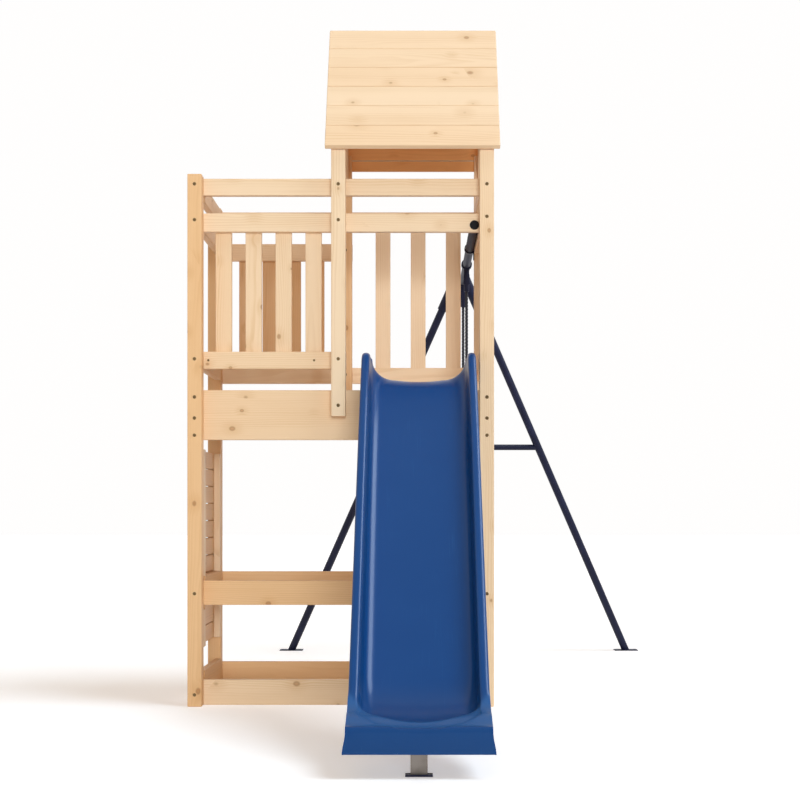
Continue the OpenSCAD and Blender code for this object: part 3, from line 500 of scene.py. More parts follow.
def solids(node):
    """The corner points of each solid of a CAD node, sorted by place."""
    probe = merged(node)
    waiting = set(probe.verts)
    groups = []
    while waiting:
        stack = [waiting.pop()]
        group = []
        while stack:
            vertex = stack.pop()
            group.append(vertex.co.copy())
            for edge in vertex.link_edges:
                other = edge.other_vert(vertex)
                if other in waiting:
                    waiting.remove(other)
                    stack.append(other)
        groups.append(np.array(group))
    probe.free()
    return sorted(groups, key=lambda g: tuple(np.round(g.min(0), 4)))


def boxes(node):
    """The lowest and the highest corner of each solid of a CAD node."""
    return [(points.min(0), points.max(0)) for points in solids(node)]


def outline(points):
    """The convex outline of points in Y and Z, without the points on its straight runs."""
    places = sorted({(round(float(p[1]), 6), round(float(p[2]), 6)) for p in points})

    def half(run):
        kept = []
        for p in run:
            while len(kept) > 1:
                a, b = kept[-2:]
                bend = (b[0] - a[0]) * (p[1] - a[1]) - (b[1] - a[1]) * (p[0] - a[0])
                if bend > STRAIGHT_RUN:
                    break
                kept.pop()
            kept.append(p)
        return kept[:-1]

    return half(places) + half(places[::-1])


print("solids in the front balusters:", len(solids("front_balusters")))

# %% Build an eased piece
EASE = 0.0022


def bridge(made, a, b):
    """Faces between two closed rings of points."""
    for i in range(len(a)):
        j = (i + 1) % len(a)
        made.faces.new((a[i], a[j], b[j], b[i]))


def soften(made, picked, offset, segments):
    """Points the faces outwards and rounds the edges that a test picks."""
    bmesh.ops.recalc_face_normals(made, faces=made.faces)
    bmesh.ops.bevel(made, geom=[e for e in made.edges if picked(e)], offset=offset,
                    segments=segments, profile=0.5, affect="EDGES")


def into_mesh(name, made):
    """A mesh of what was built, which is then freed."""
    mesh = bpy.data.meshes.new(name)
    made.to_mesh(mesh)
    made.free()
    return mesh


def plank(shape, x0, x1):
    """A straight piece on an outline in Y and Z, with eased edges."""
    made = bmesh.new()
    near, far = ([made.verts.new((x, y, z)) for y, z in shape] for x in (x0, x1))
    made.faces.new(near)
    made.faces.new(far[::-1])
    bridge(made, far, near)
    soften(made, lambda edge: True, EASE, segments=2)
    return into_mesh("plank", made)


print("planks are eased by", EASE / MM, "mm")

# %% Place a piece in its log
UNDER_SHADE_AREA = 0.018
TONE_SPREAD = 0.4
PITH_NEAR, PITH_FAR, LOG_SLOPE, LOG_START = 0.03, 0.11, 0.022, 40
END_FACING, DOWN_FACING = 0.7, -0.3
# Amber per piece, mostly painted shade; below zero paints a piece as pale as lit wood.
HONEY_AND_SHADE = {"left_front_post": 0.8, "left_back_post": 1.0, "middle_back_post": 0.5,
         "front_deck_beam": 0.4, "front_mid_rail": 0.7, "front_bottom_rail": 0.1,
         "back_lower_rail": -0.4, "back_mid_rail": 0.8, "back_bottom_rail": 0.7,
         "left_top_rail": 0.4, "left_second_rail": 0.4, "left_mid_rail": 0.9,
         "left_bottom_rail": 0.9, "climbing_boards": 0.7, "front_balusters": 0.1,
         "back_left_balusters": 0.6, "back_right_balusters": -0.4}
draw = random.Random(41)


def log_axes(shape, x0, x1):
    """Directions along and across the grain of a piece: its length, width and thickness."""
    edges = [Vector((0, b[0] - a[0], b[1] - a[1])) for a, b in zip(shape, shape[1:] + shape[:1])]
    longest = max(edges, key=lambda e: e.length)
    across = Vector((0, -longest.z, longest.y)).normalized()
    spans = [p[0] * across.y + p[1] * across.z for p in shape]
    across *= max(spans) - min(spans)
    sides = (longest, Vector((x1 - x0, 0, 0)), across)
    return [side.normalized() for side in sorted(sides, key=lambda a: -round(a.length, 5))]


def note(mesh, name, values, domain="POINT", kind="FLOAT"):
    """Writes a number or a vector for each point or face of a mesh."""
    written = mesh.attributes.new(name, kind, domain).data
    written.foreach_set("value" if kind == "FLOAT" else "vector", values)


def lay_in_log(mesh, shape, x0, x1, honey_and_shade):
    """Writes each point's place in the log, its end grain, its amount of amber, which is random
    and mostly painted shade, and the mask of painted shade on faces that look down.
    """
    along, second, third = log_axes(shape, x0, x1)
    turn = draw.uniform(0, 2 * math.pi)
    depth = draw.uniform(PITH_NEAR, PITH_FAR)
    slope = [draw.uniform(-LOG_SLOPE, LOG_SLOPE) for _ in range(2)]
    start = draw.uniform(0, LOG_START)
    # random amber plus the piece's set amount, which is mostly painted shade
    tone_and_shade = min(max(draw.random() * TONE_SPREAD + honey_and_shade, 0), 1)
    middle = Vector(((x0 + x1) / 2, *np.mean(shape, 0)))
    places = []
    for vertex in mesh.vertices:
        p = vertex.co - middle
        u = p.dot(along)
        places += [u + start, p.dot(second) + depth * math.cos(turn) + slope[0] * u,
                   p.dot(third) + depth * math.sin(turn) + slope[1] * u]
    note(mesh, "log", places, kind="FLOAT_VECTOR")
    note(mesh, "tone_and_shade", [tone_and_shade] * len(mesh.vertices))
    ends = [float(abs(f.normal.dot(along)) > END_FACING) for f in mesh.polygons]
    note(mesh, "end_grain", ends, "FACE")
    # mask of painted shade: large faces that look down
    below = [float(f.normal.z < DOWN_FACING and f.area > UNDER_SHADE_AREA) for f in mesh.polygons]
    note(mesh, "underside", below, "FACE")


print("tones set for", len(HONEY_AND_SHADE), "nodes")

# %% Bore a piece and put it in its place
DRILL_SIDES, OVERSHOOT = 28, 0.01


def bore(mesh, holes):
    """Cuts round holes along Y, given as (x, y, z, radius, depth), into a piece."""
    tool = bmesh.new()
    for x, y, z, radius, depth in holes:
        middle = Matrix.Translation((x, y + depth / 2 - OVERSHOOT, z))
        bmesh.ops.create_cone(tool, cap_ends=True, segments=DRILL_SIDES, radius1=radius,
                              radius2=radius, depth=depth + 2 * OVERSHOOT,
                              matrix=middle @ Matrix.Rotation(math.pi / 2, 4, "X"))
    work, drill = link("work", mesh), link("drill", into_mesh("drill", tool))
    modifier = work.modifiers.new("bore", "BOOLEAN")
    modifier.operation, modifier.solver, modifier.object = "DIFFERENCE", "EXACT", drill
    bored = evaluated(work)
    bpy.data.objects.remove(drill)
    return bored


def timber(node, holes=()):
    """Puts the eased pieces of one timber node in its place, as one object."""
    joined = bmesh.new()
    for points in solids(node):
        shape, x0, x1 = outline(points), float(points[:, 0].min()), float(points[:, 0].max())
        mesh = plank(shape, x0, x1)
        if holes:
            mesh = bore(mesh, holes)
        lay_in_log(mesh, shape, x0, x1, HONEY_AND_SHADE.get(node, 0))
        joined.from_mesh(mesh)
    settle(link(f"pine_{node}", into_mesh(node, joined)), pine, "pine", "frame", node)


print("timber shop ready")

# %% [markdown]
# ## Where the bolts are
#
# The rails are bolted to the backs of the posts, and each bolt's round head is sunk into the
# post's front face. The places are read from the CAD bolts, so the drilled recesses in the
# posts, and later the heads, follow them.

# %% Bolt places, and the posts drilled for them
SINK_R, SINK_DEPTH, TOUCH = 5.7 * MM, 5.4 * MM, 0.1 * MM
bolt_places = [Vector(((low[0] + high[0]) / 2, low[1], (low[2] + high[2]) / 2))
               for low, high in boxes("frame_bolts")]

posts = [f"{side}_{face}_post" for side in ("left", "middle", "right")
         for face in ("front", "back")]
for node in posts:
    low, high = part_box(node)
    inside = [p for p in bolt_places
              if low.x < p.x < high.x and low.y - TOUCH < p.y < high.y]
    timber(node, [(p.x, low.y, p.z, SINK_R, SINK_DEPTH) for p in inside])
    print(node, "drilled for", len(inside), "bolts")

# %% [markdown]
# ## Rails, balusters, boards and rafters
#
# Everything else of pine is undrilled where it shows, apart from the second front rail, which
# the swing beam passes through.

# %% The rest of the timber
BEAM_HOLE_R, BEAM_HOLE_DEPTH = 15.4 * MM, 40 * MM
beam_low, beam_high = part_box("swing_beam")
beam_mid = (beam_low + beam_high) / 2
rail_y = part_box("front_second_rail")[0].y
timber("front_second_rail", [(beam_mid.x, rail_y, beam_mid.z, BEAM_HOLE_R, BEAM_HOLE_DEPTH)])

pine_nodes = [part["node"] for part in frame["record"]["subparts"]
              if part["material_slot"] == "pine"]
for node in pine_nodes:
    if node not in posts and node != "front_second_rail":
        timber(node)
print("dressed", len(pine_nodes), "timber nodes")

# %% [markdown]
# ## Moulded plastic
#
# The chute is blow-moulded polyethylene, coloured through. Such plastic has a soft gloss, a
# faint orange peel from the mould and, on the bed, hairline scuffs down the slope where
# children have slid. The scuffs change only the roughness and a little of the colour. The lip
# is painted paler, a painted highlight on its upturned band, and the apron below it is painted
# a deeper blue, which is painted shade, so the shell carries a value that marks both. The
# seat and the caps carry none.

# %% Blue polyethylene, and a matt dark one
# The first colour is painted shade for the apron; the third is wear and painted lip light.
SLIDE_APRON_SHADE, SLIDE_BLUE = (0.002, 0.041, 0.148), (0.001, 0.048, 0.185)
SLIDE_WORN_AND_LIT = (0.018, 0.1, 0.285)
SEAT_DARK, SEAT_WORN = (0.016, 0.018, 0.03), (0.06, 0.065, 0.085)
CAP_DARK, CAP_WORN = (0.003, 0.003, 0.004), (0.012, 0.012, 0.014)


def moulded_finish(name, apron_shade, colour, worn_and_lit, rough, scuffs):
    s = Shader(name)
    rub = s.attribute("rub", "Fac")
    # painted shade: the apron gets the deeper colour
    apron_shaded = s.mix(s.step(rub, -1.0, 0.0), apron_shade, colour)
    place = s.place()
    peel = s.noise(place, 420.0, detail=1.0)
    patches = s.noise(place, 6.0, detail=3.0)
    streaks = s.noise(place, (460.0, 5.0, 5.0), detail=3.0)
    scuff = s.step(streaks, 0.58, 0.78) * s.step(patches, 0.42, 0.7) * scuffs
    s.relief(peel + scuff * 0.6, strength=0.06, distance=0.0008)
    # scuffs and patches are wear; the lip's share is painted light
    wear_and_lip_light = scuff * 0.5 + patches * 0.12 + s.step(rub, 0.0, 1.0) * 0.9
    return s.finish(Base_Color=s.mix(wear_and_lip_light, apron_shaded, worn_and_lit),
                    Roughness=rough + (patches - 0.5) * 0.1 + scuff * 0.18,
                    Coat_Weight=0.2, Coat_Roughness=0.15, Specular_IOR_Level=0.1)


slide_plastic = moulded_finish("slide_polyethylene", SLIDE_APRON_SHADE, SLIDE_BLUE, SLIDE_WORN_AND_LIT,
                               rough=0.3, scuffs=1.0)
seat_plastic = moulded_finish("seat_polyethylene", SEAT_DARK, SEAT_DARK, SEAT_WORN,
                              rough=0.5, scuffs=0.6)
cap_plastic = moulded_finish("cap_polyethylene", CAP_DARK, CAP_DARK, CAP_WORN,
                             rough=0.5, scuffs=0.2)
print("made three moulded finishes")

# %% [markdown]
# ## Metals
#
# The A-frame and the beam are powder-coated blue-black: a dense, slightly pebbled coat with a
# satin gloss. The slide's leg is bare galvanised strip, brushed along its length, and the
# bolts and screws are bronzed against rust. The brushing is a noise stretched along Z.


# %% Powder coat and plated steel
def powder_finish():
    s = Shader("powder_coat")
    pebble = s.noise(s.place(), 900.0, detail=1.0)
    rubbed_thin = s.noise(s.place(), 11.0, detail=4.0)
    s.relief(pebble, strength=0.12, distance=0.0004)
    colour = s.mix(s.step(rubbed_thin, 0.4, 0.75), (0.009, 0.010, 0.028), (0.016, 0.018, 0.046))
    return s.finish(Base_Color=colour, Roughness=0.44 + rubbed_thin * 0.14,
                    Specular_IOR_Level=0.22)


def steel_finish(name, colour, dark, along, rough):
    s = Shader(name)
    brushed = s.noise(s.place(), along, detail=3.0)
    stain = s.noise(s.place(), 30.0, detail=4.0)
    s.relief(brushed, strength=0.08, distance=0.0003)
    return s.finish(Base_Color=s.mix(s.step(stain, 0.35, 0.75), colour, dark), Metallic=0.85,
                    Roughness=rough + brushed * 0.2)


powder = powder_finish()
leg_steel = steel_finish("galvanised_strip", (0.29, 0.255, 0.225), (0.22, 0.19, 0.165),
                         along=(900.0, 900.0, 12.0), rough=0.38)
bolt_steel = steel_finish("bronzed_steel", (0.27, 0.18, 0.085), (0.16, 0.10, 0.045),
                          along=(600.0, 600.0, 600.0), rough=0.42)
print("made three metal finishes")

# %% [markdown]
# ## Bolt heads
#
# Round heads with a hexagon socket, sunk in the posts. There are dozens, all alike, so one
# head is modelled in a Geometry Nodes tree and set on every place. The washer face below the
# head is hidden in the recess, so a head with a small crown is enough.


# %% Shapes set on points
def cylinder(t, sides, radius, depth):
    return t.put("GeometryNodeMeshCylinder",
                 values={"Vertices": sides, "Radius": radius, "Depth": depth})


def raised(t, geometry, height):
    """A shape moved up by a height."""
    lift = t.put("ShaderNodeCombineXYZ", values={"Z": height})
    return t.put("GeometryNodeTransform", values={"Geometry": geometry, "Translation": lift})


def without(t, shape, tools):
    """A shape with others cut out of it."""
    return t.put("GeometryNodeMeshBoolean", {"operation": "DIFFERENCE"},
                 {"Mesh 1": shape, "Mesh 2": tools})


def set_on_points(t, shape):
    """Ends a tree with a shape on every point, turned the way that the point faces."""
    way = t.put("GeometryNodeInputNamedAttribute", {"data_type": "FLOAT_VECTOR"},
                {"Name": "facing"})
    turn = t.put("FunctionNodeAlignRotationToVector", {"axis": "Z"}, {"Vector": way})
    return t.close(t.put("GeometryNodeInstanceOnPoints", values={
        "Points": t.given("Geometry"), "Instance": shape, "Rotation": turn}))


def points_facing(name, places):
    """A mesh of loose points, each with the direction that it faces."""
    mesh = bpy.data.meshes.new(name)
    mesh.from_pydata([p for p, _ in places], [], [])
    note(mesh, "facing", [c for _, d in places for c in d], kind="FLOAT_VECTOR")
    return mesh


print("fixings kit ready")

# %% Sunk bolts
HEAD_D, HEAD_H, KEY_D = 10.8 * MM, 4.8 * MM, 5.2 * MM
HEAD_SIDES, KEY_SIDES = 24, 6
CROWN_TOP, CROWN_H, KEY_LIFT = 0.78, 0.22, 0.6
FRONT, BACK, LEFT, RIGHT, UP = (0, -1, 0), (0, 1, 0), (-1, 0, 0), (1, 0, 0), (0, 0, 1)


def bolt_tree():
    t = Tree("sunk_bolt", Head="NodeSocketFloat", Height="NodeSocketFloat",
             Key="NodeSocketFloat", Material="NodeSocketMaterial")
    height = t.given("Height")
    radius = t.times(t.given("Head"), 0.5)
    body = cylinder(t, HEAD_SIDES, radius, height)
    crown = t.put("GeometryNodeMeshCone", values={
        "Vertices": HEAD_SIDES, "Radius Bottom": radius,
        "Radius Top": t.times(radius, CROWN_TOP), "Depth": t.times(height, CROWN_H)})
    crown = raised(t, crown, t.times(height, 0.5))
    head = t.put("GeometryNodeMeshBoolean", {"operation": "UNION"}, {"Mesh 2": [body, crown]})
    key = cylinder(t, KEY_SIDES, t.times(t.given("Key"), 0.5), height)
    key = raised(t, key, t.times(height, KEY_LIFT))
    return set_on_points(t, without(t, head, key))


heads = [(p + Vector((0, HEAD_H / 2, 0)), FRONT) for p in bolt_places]
bolts = bolt_tree().grow("sunk_bolts", points_facing("bolt_places", heads),
                         Head=HEAD_D, Height=HEAD_H, Key=KEY_D, Material=bolt_steel)
settle(bolts, bolt_steel, "bolt_steel", "frame", "frame_bolts")
print("set", len(heads), "bolt heads,", len(bolts.data.polygons), "faces")

# %% [markdown]
# ## Wood screws
#
# Small countersunk screws hold the balusters, the climbing boards and the deck boards. Each
# head lies flush, with a cross recess. They are tiny and many, so the head is a flat disc with
# a crossed slot, set by the same kind of tree on the faces of the boards.

# %% Places of the screws
SCREW_RIM = 22 * MM
RAIL_SCREW_XS, RAIL_SCREW_Y, RAIL_SCREW_Z = (61, 405), 45.4, 1121
screw_places = [(at(x, RAIL_SCREW_Y, RAIL_SCREW_Z), FRONT) for x in RAIL_SCREW_XS]
for node, facing in (("front_balusters", BACK), ("back_left_balusters", BACK),
                     ("back_right_balusters", BACK), ("right_balusters", RIGHT)):
    outwards = facing.index(1)
    for low, high in boxes(node):
        spot = (low + high) / 2
        spot[outwards] = high[outwards]
        for z in (low[2] + SCREW_RIM, high[2] - SCREW_RIM):
            screw_places.append((Vector((spot[0], spot[1], z)), facing))
for low, high in boxes("climbing_boards"):
    for y in (low[1] + SCREW_RIM / 2, high[1] - SCREW_RIM / 2):
        screw_places.append((Vector((low[0], y, (low[2] + high[2]) / 2)), LEFT))
joist_xs = [points.mean(0)[0] for points in solids("deck_joists")]
for low, high in boxes("deck_boards"):
    for x in joist_xs:
        if low[0] < x < high[0]:
            for y in np.linspace(low[1], high[1], 4)[1:3]:
                screw_places.append((Vector((x, y, high[2])), UP))
print("found", len(screw_places), "places for screws")

# %% Flush screws
SCREW_D, SCREW_SIDES = 7.5 * MM, 14
SCREW_T, SLOT_W, SLOT_LIFT = 0.24, 0.16, 0.6


def screw_tree():
    t = Tree("flush_screw", Head="NodeSocketFloat", Material="NodeSocketMaterial")
    radius, thick, slot = (t.times(t.given("Head"), share) for share in (0.5, SCREW_T, SLOT_W))
    disc = cylinder(t, SCREW_SIDES, radius, thick)
    bars = []
    for x, y in ((slot, radius), (radius, slot)):
        size = t.put("ShaderNodeCombineXYZ", values={"X": x, "Y": y, "Z": thick})
        bar = t.put("GeometryNodeMeshCube", values={"Size": size})
        bars.append(raised(t, bar, t.times(thick, SLOT_LIFT)))
    return set_on_points(t, without(t, disc, bars))


screws = screw_tree().grow("flush_screws", points_facing("screw_places", screw_places),
                           Head=SCREW_D, Material=bolt_steel)
settle(screws, bolt_steel, "bolt_steel", "frame")
print("set", len(screw_places), "screws,", len(screws.data.polygons), "faces")

# %% [markdown]
# ## Slide chute
#
# A chute is moulded as one shell: a dished bed, walls that grow out of it in a wide fillet,
# a rolled rim and a skirt outside. The fillet is widest at the top, where it opens to the
# deck. At the bottom the bed levels out, the walls run down into a lip and an apron turns
# under. It could be sculpted, but its rule is simple: one section, carried down one course.
# So the section is written as a function of the place on the course and lofted through close
# stations.

# %% The course of the bed
SLIDE_X, SLIDE_HALF = 745.5, 181
LIP_Z, LIP_END, LIP_FRONT, LIP_GAP, CREST_Y = 1050, 66, 44, 2, -10
LIP_RISE, SKIRT_DROP, MOULD_T, DISH = 26, 34, 6, 5
CREST_R, RUN_R, NOSE_R = 120, 300, 12
SLOPE, EXIT_SLOPE, APRON_SLOPE = (math.radians(degrees) for degrees in (44, 2, 82))
EXIT_H, EXIT_FLAT, APRON_Z = 118, 72, 59
LIP_N, TOP_N, CREST_N, STRAIGHT_N, RUN_N, EXIT_N, NOSE_N, APRON_N = 6, 8, 15, 25, 31, 19, 13, 9
EDGE_DROP = MOULD_T * math.cos(APRON_SLOPE)


def arc(start, radius, a0, a1, count):
    """Places and slopes on an arc that leaves its start, running down the slide."""
    turn = 1 if a1 > a0 else -1
    for a in np.linspace(a0, a1, count)[1:]:
        yield (start[0] - turn * radius * (math.sin(a) - math.sin(a0)),
               start[1] - turn * radius * (math.cos(a0) - math.cos(a)), a)


def run(start, end, slope, count):
    """Places and slopes on a straight stretch, without its start."""
    for s in np.linspace(0, 1, count)[1:]:
        yield start[0] + (end[0] - start[0]) * s, start[1] + (end[1] - start[1]) * s, slope


run_end_z = EXIT_H + EXIT_FLAT * math.tan(EXIT_SLOPE)
straight = (LIP_Z - run_end_z - CREST_R * (1 - math.cos(SLOPE))
            - RUN_R * (math.cos(EXIT_SLOPE) - math.cos(SLOPE))) / math.sin(SLOPE)
crest_end = (CREST_Y - CREST_R * math.sin(SLOPE), LIP_Z - CREST_R * (1 - math.cos(SLOPE)))
straight_end = (crest_end[0] - straight * math.cos(SLOPE),
                crest_end[1] - straight * math.sin(SLOPE))
run_end = (straight_end[0] - RUN_R * (math.sin(SLOPE) - math.sin(EXIT_SLOPE)), run_end_z)
exit_lip = (run_end[0] - EXIT_FLAT, EXIT_H)
nose_end = (exit_lip[0] - NOSE_R * (math.sin(APRON_SLOPE) - math.sin(EXIT_SLOPE)),
            EXIT_H - NOSE_R * (math.cos(EXIT_SLOPE) - math.cos(APRON_SLOPE)))
apron_end = (nose_end[0] - (nose_end[1] - APRON_Z) / math.tan(APRON_SLOPE), APRON_Z)


def course():
    """Stations down the chute: place along Y, height and slope of the bed, thickness, and
    drop of the skirt."""
    rows = [(y, LIP_Z, 0, LIP_RISE - DISH, LIP_RISE)
            for y in np.linspace(LIP_END, LIP_FRONT, LIP_N)]
    bed = [(y, LIP_Z, 0) for y in np.linspace(LIP_FRONT - LIP_GAP, CREST_Y, TOP_N)]
    bed += arc((CREST_Y, LIP_Z), CREST_R, 0, SLOPE, CREST_N)
    bed += run(crest_end, straight_end, SLOPE, STRAIGHT_N)
    bed += arc(straight_end, RUN_R, SLOPE, EXIT_SLOPE, RUN_N)
    bed += run(run_end, exit_lip, EXIT_SLOPE, EXIT_N)
    rows += [(*place, MOULD_T, SKIRT_DROP) for place in bed]
    turned = list(arc(exit_lip, NOSE_R, EXIT_SLOPE, APRON_SLOPE, NOSE_N))
    turned += run(nose_end, apron_end, APRON_SLOPE, APRON_N)
    rows += [(*place, MOULD_T, SKIRT_DROP + (EDGE_DROP - SKIRT_DROP) * (i + 1) / len(turned))
             for i, place in enumerate(turned)]
    return rows


print("the chute reaches", round(-apron_end[0]), "mm and has", len(course()), "stations")

# %% What changes down the course
EXIT_NARROW, APRON_FLARE, APRON_SHADE_SOFT = 6, 7, 8
EXIT_HALF = SLIDE_HALF - EXIT_NARROW
LIP_SET, LIP_BOW, LIP_LIFT, SIDE_LIFT = 33, 100, 0.65, 0.5
WALL_HEIGHTS = [(apron_end[0], 0), (exit_lip[0], 5), (run_end[0], 24), (straight_end[0], 98),
                (crest_end[0], 98), (CREST_Y, 86), (LIP_FRONT, 73), (LIP_END, 43)]
HALF_WIDTHS = [(apron_end[0], EXIT_HALF + APRON_FLARE), (nose_end[0], EXIT_HALF),
               (exit_lip[0], EXIT_HALF), (crest_end[0], SLIDE_HALF)]
LIFTS = [(apron_end[0], 1), (nose_end[0], 0.7), (exit_lip[0], LIP_LIFT),
         (exit_lip[0] + LIP_SET, LIP_LIFT), (run_end[0], 0)]
FILLETS = [(crest_end[0], 36), (CREST_Y, 74), (LIP_END, 74)]
# painted shade on the apron, fading out just above the lip's edge
APRON_SHADES = [(apron_end[0], 1), (nose_end[0], 0.85), (exit_lip[0] + APRON_SHADE_SOFT, 0)]


def eased_lookup(y, table):
    """A value between the entries of a table, with soft joints."""
    for (y0, v0), (y1, v1) in zip(table, table[1:]):
        if y <= y1:
            t = min(max((y - y0) / (y1 - y0), 0), 1)
            return v0 + (v1 - v0) * t * t * (3 - 2 * t)
    return table[-1][1]


def lip_light_and_apron_shade(y, share):
    """1 on the lip, which is painted light, -1 on the apron, which is painted shade, 0
    elsewhere.
    """
    lip = min(1, eased_lookup(y - LIP_BOW * share ** 2, LIFTS) / LIP_LIFT)
    apron = eased_lookup(y, APRON_SHADES)
    return lip - (lip + 1) * apron


print("the exit is", 2 * EXIT_HALF, "mm wide")

# %% The section
RIM_R, RIM_SQUARE, WALL_LEAN = 13, 0.82, 6
RIM_SHARE, RIM_WALL, FILLET_SHARE = 0.45, 0.6, 0.9
BED_N, FILLET_N, RIM_N, SKIRT_STEPS = 16, 13, 21, (0.34, 0.67, 1)


def squared(x):
    """Draws a circle's sine or cosine out towards a square."""
    return math.copysign(abs(x) ** RIM_SQUARE, x)


def half_section(y, half, h, skirt, t, under):
    """Half of the chute's outline above or below its wall, from the middle to the skirt. Near
    the exit it is lifted towards its rim, first at the sides, which makes the lip."""
    wall = MOULD_T if under else 0
    rim_h = min(RIM_R, h * RIM_SHARE)
    top_h = rim_h - min(wall, rim_h * RIM_WALL)
    fillet = eased_lookup(y, FILLETS)
    floor_u = half - WALL_LEAN - 2 * RIM_R - fillet
    fillet_h = min(fillet, (h - rim_h) * FILLET_SHARE)
    drop = fillet_h + (t + DISH if under else 0)
    rows = []
    for s in np.linspace(0, 1, BED_N)[:-1]:
        rows.append((floor_u * s, -DISH - t if under else -DISH * (1 - s * s)))
    for a in np.linspace(0, math.pi / 2, FILLET_N):
        rows.append((floor_u + (fillet + wall) * math.sin(a), fillet_h - drop * math.cos(a)))
    for a in np.linspace(math.pi, 0, RIM_N):
        rows.append((half - RIM_R + (RIM_R - wall) * squared(math.cos(a)),
                     h - rim_h + top_h * squared(math.sin(a))))
    top = h - t if under else h
    lifted = []
    for u, v in rows:
        side = (u / half) ** 2
        lift = min(1, eased_lookup(y - LIP_BOW * side, LIFTS) * (1 + SIDE_LIFT * side))
        lifted.append((u, v + lift * (top - v)))
    low = lifted[-1][1]
    return lifted + [(half - wall, low + (-skirt - low) * s) for s in SKIRT_STEPS]


print("the rims are", 2 * RIM_R, "mm wide")


# %% The loft
def chute_mesh():
    made = bmesh.new()
    grid, painted_lip_apron = [], []
    for y, z, slope, t, skirt in course():
        half, h = eased_lookup(y, HALF_WIDTHS), eased_lookup(y, WALL_HEIGHTS)
        ring = []
        for under in (False, True):
            right = half_section(y, half, h, skirt, t * math.cos(slope), under)
            whole = [(-u, v) for u, v in right[:0:-1]] + right
            back = t * math.sin(slope) if under else 0
            ring.append([at(SLIDE_X + u, y + back, z + v) for u, v in whole])
            # painted lip light and apron shade for each point
            painted_lip_apron += [lip_light_and_apron_shade(y, u / half) for u, v in whole]
        grid.append([made.verts.new(p) for p in ring[0] + ring[1][::-1]])
    for a, b in zip(grid, grid[1:]):
        bridge(made, a, b)
    count = len(grid[0])
    for ring in (grid[0], grid[-1]):
        for i in range(count // 2 - 1):
            made.faces.new((ring[i], ring[i + 1], ring[count - 2 - i], ring[count - 1 - i]))
    bmesh.ops.recalc_face_normals(made, faces=made.faces)
    mesh = into_mesh("slide_chute", made)
    note(mesh, "rub", painted_lip_apron)
    return mesh


def smooth(mesh, degrees):
    """Shades a mesh smooth, apart from edges sharper than an angle."""
    mesh.shade_smooth()
    mesh.set_sharp_from_angle(angle=math.radians(degrees))
    return mesh


shell = smooth(chute_mesh(), degrees=80)
settle(link("moulded_chute", shell), slide_plastic, "slide_blue", "frame", "slide_chute")
print("chute of", len(shell.polygons), "faces")

# %% [markdown]
# ## Hardware
#
# The tubes, brackets, plates and shackles are right as the CAD model has them, but real
# edges are never knife sharp. A copy of each is cleaned of its triangles, gets a small bevel
# on its sharp edges and is shaded smooth across its curves.

# %% Ease the edges of the metal
FLAT_ANGLE, EDGE_ANGLE = math.radians(0.5), math.radians(40)


def dress(node, material, slot, edge, body="frame"):
    """Puts a copy of a CAD node in its place, with small bevels on its sharp edges."""
    work = merged(node)
    bmesh.ops.dissolve_limit(work, angle_limit=FLAT_ANGLE, verts=work.verts, edges=work.edges)
    host = link("host", into_mesh(node, work))
    bevel = host.modifiers.new("edges", "BEVEL")
    bevel.limit_method, bevel.angle_limit = "ANGLE", EDGE_ANGLE
    bevel.width, bevel.segments = edge, 2
    eased = smooth(evaluated(host), degrees=32)
    settle(link(f"eased_{node}", eased), material, slot, body, node)


for node in ("swing_beam", "beam_saddle", "a_frame_head", "a_frame_left_leg",
             "a_frame_right_leg", "a_frame_crossbar", "a_frame_foot_plates", "swing_hangers",
             "slide_foot_plate"):
    dress(node, powder, "tube_black", 0.6 * MM)
dress("beam_end_caps", cap_plastic, "cap_black", 1.0 * MM)
dress("slide_leg", leg_steel, "leg_steel", 0.5 * MM)
dress("slide_screws", bolt_steel, "bolt_steel", 0.4 * MM)
dress("swing_shackles", powder, "tube_black", 0.6 * MM, "swing")
print("eased the hardware")

# %% [markdown]
# ## Swing seat
#
# A flat moulded seat with rounded corners and a soft edge. The outline is drawn with arcs,
# raised into a slab and bevelled. The ropes fill their holes, so the holes aren't cut again.

# %% Seat with soft edges
SEAT_CORNER, SEAT_SOFT, CORNER_N = 30 * MM, 6 * MM, 9
seat_low, seat_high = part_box("swing_seat")
seat_mid = (seat_low + seat_high) / 2
corner_x, corner_y = ((seat_high - seat_low) / 2).xy - Vector((SEAT_CORNER, SEAT_CORNER))


def seat_mesh():
    made = bmesh.new()
    rim = []
    for k, (sx, sy) in enumerate(((1, 1), (-1, 1), (-1, -1), (1, -1))):
        for a in np.linspace(0, math.pi / 2, CORNER_N):
            angle = a + k * math.pi / 2
            rim.append((seat_mid.x + sx * corner_x + SEAT_CORNER * math.cos(angle),
                        seat_mid.y + sy * corner_y + SEAT_CORNER * math.sin(angle)))
    top, base = ([made.verts.new((x, y, z)) for x, y in rim] for z in (seat_high.z, seat_low.z))
    made.faces.new(top)
    made.faces.new(base[::-1])
    bridge(made, base, top)
    soften(made, lambda edge: abs(edge.verts[0].co.z - edge.verts[1].co.z) < SAME_PLACE,
           SEAT_SOFT, segments=5)
    return into_mesh("swing_seat", made)


slab = smooth(seat_mesh(), degrees=40)
settle(link("moulded_seat", slab), seat_plastic, "seat_black", "swing", "swing_seat")
print("seat of", len(slab.polygons), "faces")

# %% [markdown]
# ## Climbing holds
#
# Cast resin holds, each a little different, with a lip that fingers hook over and a bolt in a
# recess. A hold is turned from a profile whose radius and height wander round the middle, so
# one function with its own seed for each makes them all.

